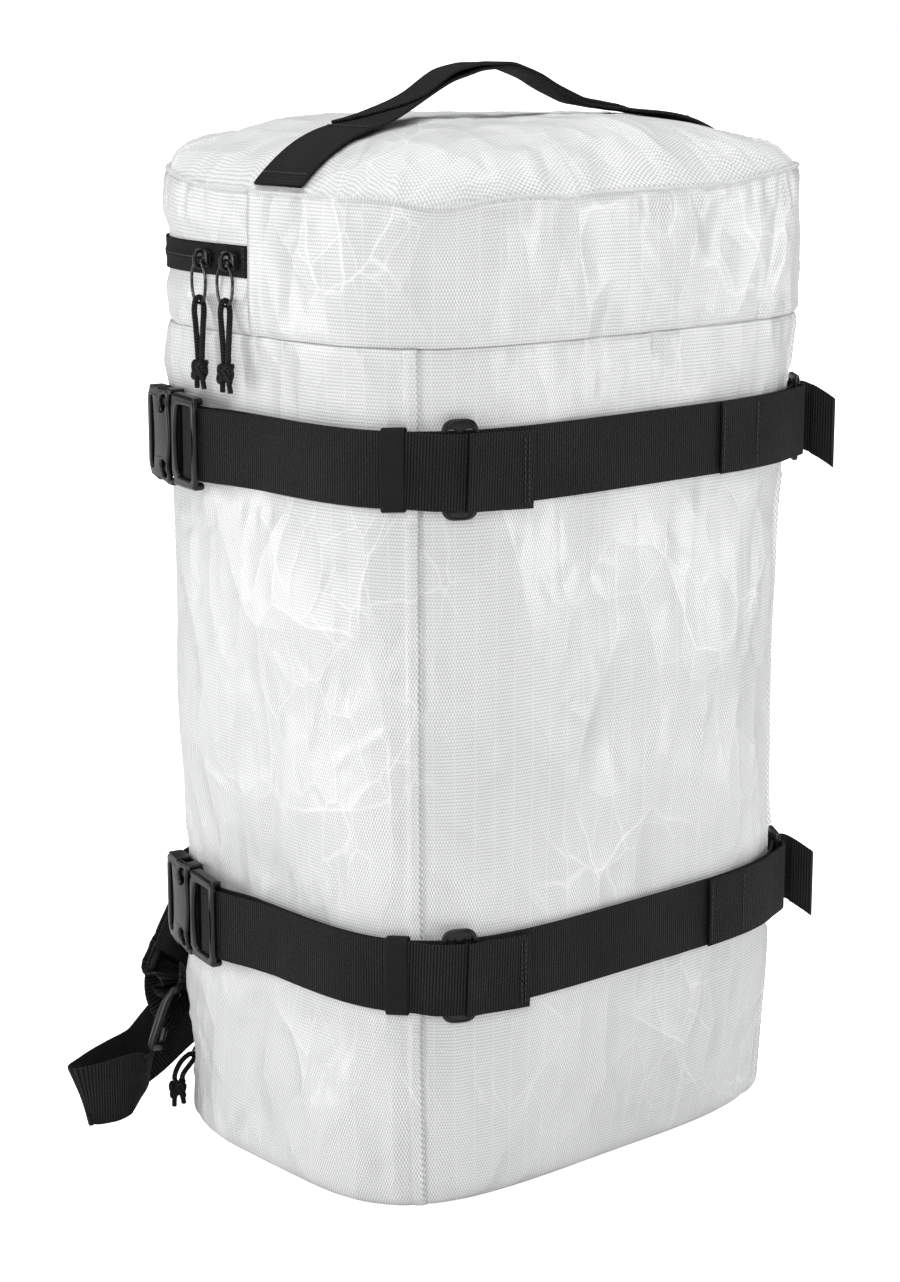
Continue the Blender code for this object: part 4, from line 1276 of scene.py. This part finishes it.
def belt_long(label, z):
    """The long webbing, from its anchor round the male half's bar and back to its hem."""
    buckle_place = buckle_frame(z)
    lock = on_frame(SIDE_LOCK, z)
    plan = on_wall(span(OVERLAY_START, 316, 8), z, OVERLAY)
    plan += flat(lock, [(-0.0165, 0.0076), (-0.0125, 0.0090)], z)
    plan += flat(lock, u_turn((-0.0090, 0.0062), 0.0030, 90, -90), z)
    plan += on_wall(span(316, 238, 24) + span(232, 180, 18) + [176], z, LAYER_1)
    plan += on_wall([172], z, 0.0045)
    plan += flat(buckle_place, [(-0.029, 0.0031)] + u_turn(MALE_BAR, 0.0030, -90, 90)
                 + [(-0.029, 0.0091)], z)
    plan += on_wall([172.5], z, 0.0105) + on_wall([177], z, 0.0078)
    plan += on_wall(span(184, KEEPER[1] + 1, 12), z, LAYER_2)
    plan += on_wall([TRIGLIDE + turn for turn in (-3.6, -1.2, 1.2, 3.4)], z, LAYER_2 + 0.0024)
    plan += on_wall(span(HEM[0] + 3.5, HEM[1], 5), z, OVERLAY)
    path = spaced(smooth_path(plan, 3), 0.0025)
    tail_from = bearing(*wall_point(KEEPER[1], z).to_2d())
    past_buckle = False
    for point in path:
        turned = bearing(point.x, point.y)
        past_buckle = past_buckle or turned < 165
        if past_buckle and turned > tail_from:
            point.z -= HEM_DROP * min(1.0, (turned - tail_from) / (HEM[1] - tail_from))
    made = strap_piece(f"{label}_belt_strap", path, None, f"{label}_belt_webbing")
    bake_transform(made)

    # The folded hem at the end of the outer layer, and the rows of thread that hold both ends.
    hem = []
    for d in span(HEM[0] - 0.6, HEM[1] + 0.1, 9):
        share = (d - tail_from) / (HEM[1] - tail_from)
        lift = 0.0016 + 0.0022 * float(1 - soft_step(d, HEM[0] - 1, HEM[0] + 3.5))
        hem.append(wall_point(d, z - HEM_DROP * share, OVERLAY + lift))
    strap_piece(f"{label}_belt_hem", spaced(smooth_path(hem, 4), 0.0020), "bag",
                width=WEB + 0.0008, thickness=0.0015)
    lines = []
    for degrees, out, shift in ((HEM[1] - 1.0, LAYER_2 + 0.00275, -0.0023),
                                (HEM[1] - 1.8, LAYER_2 + 0.00275, -0.0023),
                                (OVERLAY_START + 0.5, OVERLAY + 0.0009, 0.0),
                                (OVERLAY_START + 10.2, OVERLAY + 0.0009, 0.0)):
        path = [wall_point(degrees, z + shift + h, out) for h in span(-0.0165, 0.0165, 4)]
        lines.append((path, (wall_point(degrees, z, 0.01) - wall_point(degrees, z)).normalized()))
    stitches(f"{label}_belt_stitches", lines, 0.0030, 0.00036)


def keeper(label, z):
    place = on_frame(sum(KEEPER) / 2, z)
    width = (wall_point(KEEPER[1], z) - wall_point(KEEPER[0], z)).length
    half = WEB / 2 + 0.0013
    loop = round_corners([(-half, 0.0015), (-half, 0.0077), (half, 0.0077), (half, 0.0015)],
                         0.0024, 5)
    path = spaced([place @ Vector((0.0, w, -h)) for h, w in loop + loop[:1]], 0.0015)
    lean = place.to_3x3().col[0] + UP * 0.05
    strap_piece(f"{label}_keeper_loop", path, "bag", f"{label}_keeper", across=lean, width=width,
                thickness=0.0010, material=ELASTIC)


def triglide(label, z):
    windows = [block(side * 0.0068, side * 0.0022, 0.0200, 0.0015) for side in SIDES]
    parts = [plate_mesh("glide", block(-0.0095, 0.0095, 0.0250, 0.0075, 8), windows, 0.0044,
                        0.0063, 0.0007)]
    parts[0].transform(on_frame(TRIGLIDE, z))
    for side in SIDES:
        lip = [on_frame(TRIGLIDE, z) @ Vector((x, 0.0062, side * h)) for x, h in
               ((-0.0070, 0.0210), (-0.0040, 0.0236), (0.0, 0.0241), (0.0040, 0.0236),
                (0.0070, 0.0210))]
        parts.append(tube_mesh("lip", smooth_path(lip, 4), 0.0006, 8))
    finish(f"{label}_glide_frame", join_meshes("glide", parts), PLASTIC, "bag", "moulding",
           f"{label}_triglide")


def crowned(point):
    """The buckle's outer faces bow: they fall away towards both ends of its height."""
    share = (point.z / BUCKLE_HALF) ** 2
    return Vector((point.x, point.y - 0.0016 * share * max(0.0, (point.y - 0.004) / 0.0085),
                   point.z))


def both_sides(name, outline, radius, steps, low, high, bevel):
    """A plate at each end of the buckle's height; its outline is for the upper one."""
    return [plate_mesh(name, round_corners([(x, side * z) for x, z in outline], radius, steps), [],
                       low, high, bevel) for side in SIDES]


def upright_bar(name, bar, half, radius):
    return tube_mesh(name, [Vector((*bar, h)) for h in span(-half, half, 6)], radius, 12)


def male_half(label, z):
    outline = round_corners([(-0.0350, -0.0240), (-0.0060, -0.0245), (-0.0060, 0.0245),
                             (-0.0350, 0.0240)], [0.0085, 0.0090, 0.0090, 0.0085], 10)
    window = round_corners([(-0.0305, -0.0192), (-0.0120, -0.0186), (-0.0105, 0.0),
                            (-0.0120, 0.0186), (-0.0305, 0.0192), (-0.0328, 0.0)],
                           [0.003, 0.003, 0.012, 0.003, 0.003, 0.012], 6)
    blade = round_corners([(-0.0060, -0.0026), (0.0200, -0.0020), (0.0200, 0.0020),
                           (-0.0060, 0.0026)], 0.0015, 4)
    parts = [warp(plate_mesh("frame", outline, [window], 0.0092, 0.0128, 0.0016), crowned)]
    parts += both_sides("rail", [(-0.0330, 0.0200), (-0.0060, 0.0200), (-0.0060, 0.0243),
                                 (-0.0330, 0.0240)], 0.0018, 5, 0.0046, 0.0116, 0.0019)
    parts += both_sides("prong", [(-0.0070, 0.0118), (0.0035, 0.0122), (0.0100, 0.0165),
                                  (0.0170, 0.0150), (0.0170, 0.0178), (0.0080, 0.0205),
                                  (-0.0070, 0.0172)], 0.0020, 5, 0.0055, 0.0096, 0.0009)
    parts += [upright_bar("bar", MALE_BAR, 0.0205, 0.0019),
              plate_mesh("cross", block(-0.0105, -0.0046, 0.0215, 0.0015), [], 0.0052, 0.0104,
                         0.0010),
              plate_mesh("blade", blade, [], 0.0062, 0.0090, 0.0007)]
    finish(f"{label}_male_half", join_meshes("male", parts, buckle_frame(z)), PLASTIC,
           f"{label}_male", "moulding", f"{label}_buckle_male")


def female_half(label, z):
    outline = round_corners([
        (-0.0022, -0.0252), (0.0350, -0.0235), (0.0350, 0.0235), (-0.0022, 0.0252),
        (-0.0008, 0.0165), (-0.0030, 0.0100), (-0.0046, 0.0015), (-0.0028, -0.0085),
        (0.0006, -0.0150)], [0.005, 0.007, 0.007, 0.005, 0.004, 0.008, 0.012, 0.008, 0.004], 8)
    windows = [round_corners([(0.0010, side * 0.0140), (0.0085, side * 0.0120),
                              (0.0120, side * 0.0175), (0.0085, side * 0.0218),
                              (0.0010, side * 0.0215)], 0.0035, 6) for side in SIDES]
    windows.append(round_corners(
        [(0.0235, -0.0190), (0.0300, -0.0190), (0.0300, 0.0190), (0.0235, 0.0190),
         (0.0185, 0.0090), (0.0175, 0.0), (0.0185, -0.0090)],
        [0.002, 0.002, 0.002, 0.002, 0.008, 0.008, 0.008], 6))
    back = round_corners([(-0.0035, -0.0240), (0.0340, -0.0235), (0.0340, 0.0235),
                          (-0.0035, 0.0240)], 0.006, 6)
    parts = [warp(plate_mesh("shell", outline, windows, 0.0096, 0.0128, 0.0014), crowned),
             plate_mesh("back", back, [block(0.0230, 0.0300, 0.0190, 0.002)], 0.0016, 0.0034,
                        0.0006)]
    parts += both_sides("wall", [(0.0150, 0.0210), (0.0335, 0.0200), (0.0335, 0.0240),
                                 (0.0150, 0.0250)], 0.0012, 4, 0.0030, 0.0112, 0.0009)
    parts += both_sides("lip", [(-0.0040, 0.0222), (0.0040, 0.0222), (0.0040, 0.0254),
                                (-0.0040, 0.0254)], 0.0012, 4, 0.0026, 0.0110, 0.0009)
    parts.append(upright_bar("rear_bar", REAR_BAR, 0.0215, 0.0020))
    for part in parts:
        warp(part, lambda p: Vector((p.x * (0.94 if p.x > 0 else 1.0), bowed_in(p.x, p.y), p.z)))
    finish(f"{label}_female_half", join_meshes("female", parts, buckle_frame(z)), PLASTIC, "bag",
           "moulding", f"{label}_buckle_female")


def side_pieces(label, z):
    """The female half's anchor, the ladder lock, the side webbing and its loose end."""
    turned = [(0.0440, 0.0092), (0.0380, 0.0102)] + u_turn(REAR_BAR, 0.0036, 110, 250)
    turned += [(0.0370, 0.0036), (0.0430, 0.0030)]
    plan = flat(buckle_frame(z), [(u * 0.94, bowed_in(u, w)) for u, w in turned], z)
    plan += on_wall([131, 128, 124], z, LAYER_1 + 0.0006)
    strap_piece(f"{label}_anchor_strap", spaced(smooth_path(plan, 4), 0.0025), "bag",
                f"{label}_belt_anchor")
    lock = on_frame(SIDE_LOCK, z)
    windows = [block(-0.0076, -0.0022, 0.0200, 0.0012), block(0.0018, 0.0076, 0.0200, 0.0012)]
    mesh = plate_mesh("lock", block(-0.0105, 0.0110, 0.0235, 0.004, 6), windows, 0.0048, 0.0076,
                      0.0009)
    mesh.transform(lock)
    finish(f"{label}_lock_frame", mesh, PLASTIC, "bag", "moulding", f"{label}_side_lock")
    plan = flat(lock, [(0.0046, 0.0058), (0.0060, 0.0040), (0.0100, 0.0028)], z)
    plan += on_wall(span(336, 360, 8) + span(6, CORNER + 2, 10), z, LAYER_1)
    strap_piece(f"{label}_side_strap", spaced(smooth_path(plan, 4), 0.0025), "bag",
                f"{label}_side_webbing")

    path = smooth_path(flat(lock, TAIL_LINE, z), 6)
    foot, tip = [(lock.inverted() @ p).y for p in (path[0], path[-1])]

    def drooped(point):
        """The free end hangs lower the further it stands out from the wall."""
        share = min(max(((lock.inverted() @ point).y - foot) / (tip - foot), 0.0), 1.1)
        return point - UP * TAIL_DROOP * share ** 1.5

    side = lock.to_3x3().col[0] * -0.0018
    half_way = len(path) // 2 - 2
    fold_end = path[-1] + (path[-1] - path[-2]).normalized() * 0.0011 + side * 0.5
    fold = [path[-1] + side * 0.02, fold_end] + [p + side for p in path[:half_way:-1]]
    plies = [ribbon_mesh("ply", path, UP, WEB, WEB_T),
             ribbon_mesh("hem", fold, UP, WEB + 0.0006, 0.0016)]
    finish(f"{label}_tail_strap", warp(join_meshes("tail", plies), drooped), STRAP,
           f"{label}_tail", "webbing", f"{label}_belt_tail")


# ---------------------------------------------------------------- shoulder straps
STRAP_LINE = [(0.050, 0.1310, 0.432), (0.054, 0.1315, 0.390), (0.062, 0.1318, 0.310),
              (0.071, 0.1320, 0.220), (0.0775, 0.1318, 0.160), (0.0950, 0.1290, 0.120),
              (0.1125, 0.1245, 0.0985), (0.1262, 0.1203, 0.0815)]
STRAP_TWIST = [0, 0, 0, 0, 2, 6, 10, 12]
STRAP_WIDTHS = [0.048, 0.052, 0.054, 0.052, 0.047, 0.041, 0.038, 0.038]
STRAP_FALL = [(0.1225, 0.1245, 0.0900), (0.1270, 0.1250, 0.0780), (0.1285, 0.1240, 0.0660),
              (0.1255, 0.1215, 0.0560), (0.1215, 0.1190, 0.0500)]
QUILT_GAP = 0.045
LOCK_TOP = (0.1295, 0.1090, 0.0700)
LOCK_END = (0.1478, 0.1090, 0.0362)
LOCK_ACROSS = (0.77, 0.64)
# The stretch of slack loop, across the bag, that is drawn out when its shoulder strap swings.
LOOP_LINE = [(0.1000, 0.1142, 0.0562), (0.1180, 0.1270, 0.0446), (0.1400, 0.1330, 0.0260),
             (0.1650, 0.1300, 0.0210), (0.1860, 0.1200, 0.0205), (0.1965, 0.1120, 0.0210),
             (0.1925, 0.1060, 0.0218), (0.1800, 0.1030, 0.0222), (0.1680, 0.1040, 0.0226),
             (0.1585, 0.1065, 0.0240), (0.1515, 0.1086, 0.0292)]
LOOP_TWIST = [0, 0, 0, 0, 0, 0, 0, 0.02, 0.25, 0.7, 1.0]


def on_side(side, points):
    """Points given for the right strap, moved to either side."""
    return [Vector((side * x, y, z)) for x, y, z in points]


def strap_across(side, degrees):
    """The strap's width direction where it is twisted by an angle."""
    return Vector((side * math.cos(math.radians(degrees)), -math.sin(math.radians(degrees)), 0))


def shared_out(values, count):
    """A short list of values spread evenly over count points."""
    return np.interp(np.linspace(0, len(values) - 1, count), range(len(values)), values)


def padded_strap(label, side):
    """The crowned, quilted pad with its bound edges and the webbing down its outside."""
    path = smooth_path(on_side(side, STRAP_LINE), 16)
    twists = shared_out(STRAP_TWIST, len(path)).tolist()
    widths = shared_out(STRAP_WIDTHS, len(path)).tolist()
    rings = []
    coords = []
    for (point, along, run), twist, width in zip(walk(path), twists, widths):
        wide = strap_across(side, twist)
        wide = (wide - along * wide.dot(along)).normalized()
        thick = along.cross(wide) * side
        ends = min(1.0, run / 0.012)
        quilt = 1 - 0.22 * float(hump(math.fmod(run, QUILT_GAP), QUILT_GAP / 2, 0.0020))
        ring = []
        coord = []
        for k in range(28):
            t = 2 * math.pi * k / 28
            a = rounded(math.cos(t), 0.55)
            puff = 0.0046 * quilt * ends + 0.0010 * (1 - ends)
            puff *= 1 - 0.55 * float(soft_step(abs(a), 0.72, 0.90))
            ring.append(list(point + wide * width / 2 * a
                             + thick * puff * rounded(math.sin(t), 0.75)))
            coord.append((run, width / 2 * a))
        rings.append(ring)
        coords.append(coord)
    mesh = closed_tube(f"{label}_strap_pad", rings, coords)
    made = finish(f"{label}_strap_pad", mesh, PAD_CLOTH, f"{label}_shoulder", "webbing",
                  f"{label}_shoulder_strap")
    trims = []
    for edge in SIDES:
        line = [point + strap_across(side, twist) * edge * (width / 2 - 0.0004) for
                point, twist, width in zip(path[::2], twists[::2], widths[::2])]
        trims.append(tube_mesh("binding", line, 0.0019, 10))
    finish(f"{label}_strap_binding", join_meshes("binding", trims), ELASTIC,
           f"{label}_shoulder", "webbing")
    web = smooth_path([p + Vector((0, 0.0054, 0)) for p in on_side(side, STRAP_LINE[2:])], 8)
    strap_piece(f"{label}_strap_webbing", web[:-2], f"{label}_shoulder",
                across=Vector((side, 0, 0)), width=0.025, thickness=0.0014)


def strap_end(label, side):
    """The lower end: webbing round the lock, the lock itself, and the slack loop."""
    top_end, end = on_side(side, [LOCK_TOP, LOCK_END])
    length = (end - top_end).length
    along = (end - top_end).normalized()
    wide = Vector((-side * LOCK_ACROSS[0], LOCK_ACROSS[1], 0)).normalized()
    wide = (wide - along * wide.dot(along)).normalized()
    place = Matrix((along, wide.cross(along), wide)).transposed().to_4x4()
    place.translation = top_end
    outline = round_corners([(0, -0.0190), (0.006, -0.0215), (length, -0.0215),
                             (length, 0.0215), (0.006, 0.0215), (0, 0.0190)], 0.004, 5)
    windows = [block(low, high, 0.0185, 0.0015) for low, high in ((0.004, 0.013),
                                                                  (0.018, length - 0.004))]
    mesh = plate_mesh("lock", outline, windows, -0.0017, 0.0017, 0.0010)

    def bowed(point):
        """The lock is a shallow curve from end to end."""
        return point + Vector((0, 0.0035 * math.sin(point.x / length * math.pi), 0))

    warp(mesh, bowed).transform(place)
    finish(f"{label}_lock_plate", mesh, PLASTIC, f"{label}_shoulder", "moulding",
           f"{label}_ladder_lock")
    pad_across = strap_across(side, STRAP_TWIST[-1])
    pad_line = smooth_path(on_side(side, STRAP_LINE[-3:]), 6)
    line = [p + Vector((0, 0.0046, 0)) for p in pad_line[4:-1]]
    line += [pad_line[-1] + Vector((side * 0.0020, 0.0020, -0.0045))]
    line += [top_end + Vector((side * x, y, z)) for x, y, z in (
        (0, 0.0045, 0.0040), (0.0010, 0.0030, -0.0015), (0, -0.0035, 0.0015),
        (-0.0030, 0.0, 0.0100))]
    line = spaced(smooth_path(line, 5), 0.002)
    toward = -wide if pad_across.dot(wide) < 0 else wide
    across = [pad_across.lerp(toward, float(soft_step(share, 0.45, 0.95))) for share in
              span(0, 1, len(line))]
    strap_piece(f"{label}_strap_end", line, f"{label}_shoulder", across=across,
                width=WEB - 0.001)
    strap_piece(f"{label}_strap_fall", smooth_path(on_side(side, STRAP_FALL), 8),
                f"{label}_shoulder", across=pad_across, width=WEB - 0.002)

    loop = smooth_path(on_side(side, LOOP_LINE), 8)
    upright = Vector((0, 0, -1))
    leaning = Vector((-side * 0.35, 0, -0.94))
    across = [upright.lerp(leaning, min(spot / 4, 1.0)).lerp(wide, turn) for spot, turn in
              zip(span(0, len(LOOP_TWIST) - 1, len(loop)), shared_out(LOOP_TWIST, len(loop)))]
    made = strap_piece(f"{label}_slack_loop", loop, None, f"{label}_strap_loop", across=across,
                       thickness=0.0015)
    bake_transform(made)


def back_anchor():
    """The stitched patch on the back wall that the shoulder straps hang from."""
    grid_x, grid_z = np.meshgrid(np.linspace(-0.080, 0.080, 60), np.linspace(0.4235, 0.4440, 9))
    over_strap = np.maximum(0.0, 1 - ((np.abs(grid_x) - 0.050) / 0.030) ** 4)
    proud = 0.0020 + 0.0105 * over_strap * (1 - soft_step(grid_z, 0.428, 0.440))
    grid_y = np.vectorize(back_y)(grid_x, grid_z) + proud
    points = np.stack([grid_x, grid_y, grid_z], axis=-1)
    mesh = grid_mesh("strap_yoke", points, np.stack([grid_x, grid_z], axis=-1))
    thicken(finish("strap_yoke", mesh, STRAP, "bag", "webbing"), YOKE_CLOTH)
    _, y, z = points[7, 0]
    line = [Vector((x, y + 0.0012, z)) for x in span(-0.076, 0.076, 4)]
    stitches("yoke_stitches", [(line, Vector((0, 1, 0)))], 0.0034, 0.00034)


studio()
camera()
pulls()
walls()
base_panel()
bands()
top()
seam_welts()
handle()
zips()
for slider_name in ("front", "rear", "base"):
    slider_body(slider_name)
    wire_ring(slider_name)
for belt_name, belt_z in BELTS.items():
    belt_long(belt_name, belt_z)
    keeper(belt_name, belt_z)
    triglide(belt_name, belt_z)
    male_half(belt_name, belt_z)
    female_half(belt_name, belt_z)
    side_pieces(belt_name, belt_z)
for side_name, side_sign in (("left", -1), ("right", 1)):
    padded_strap(side_name, side_sign)
    strap_end(side_name, side_sign)
back_anchor()
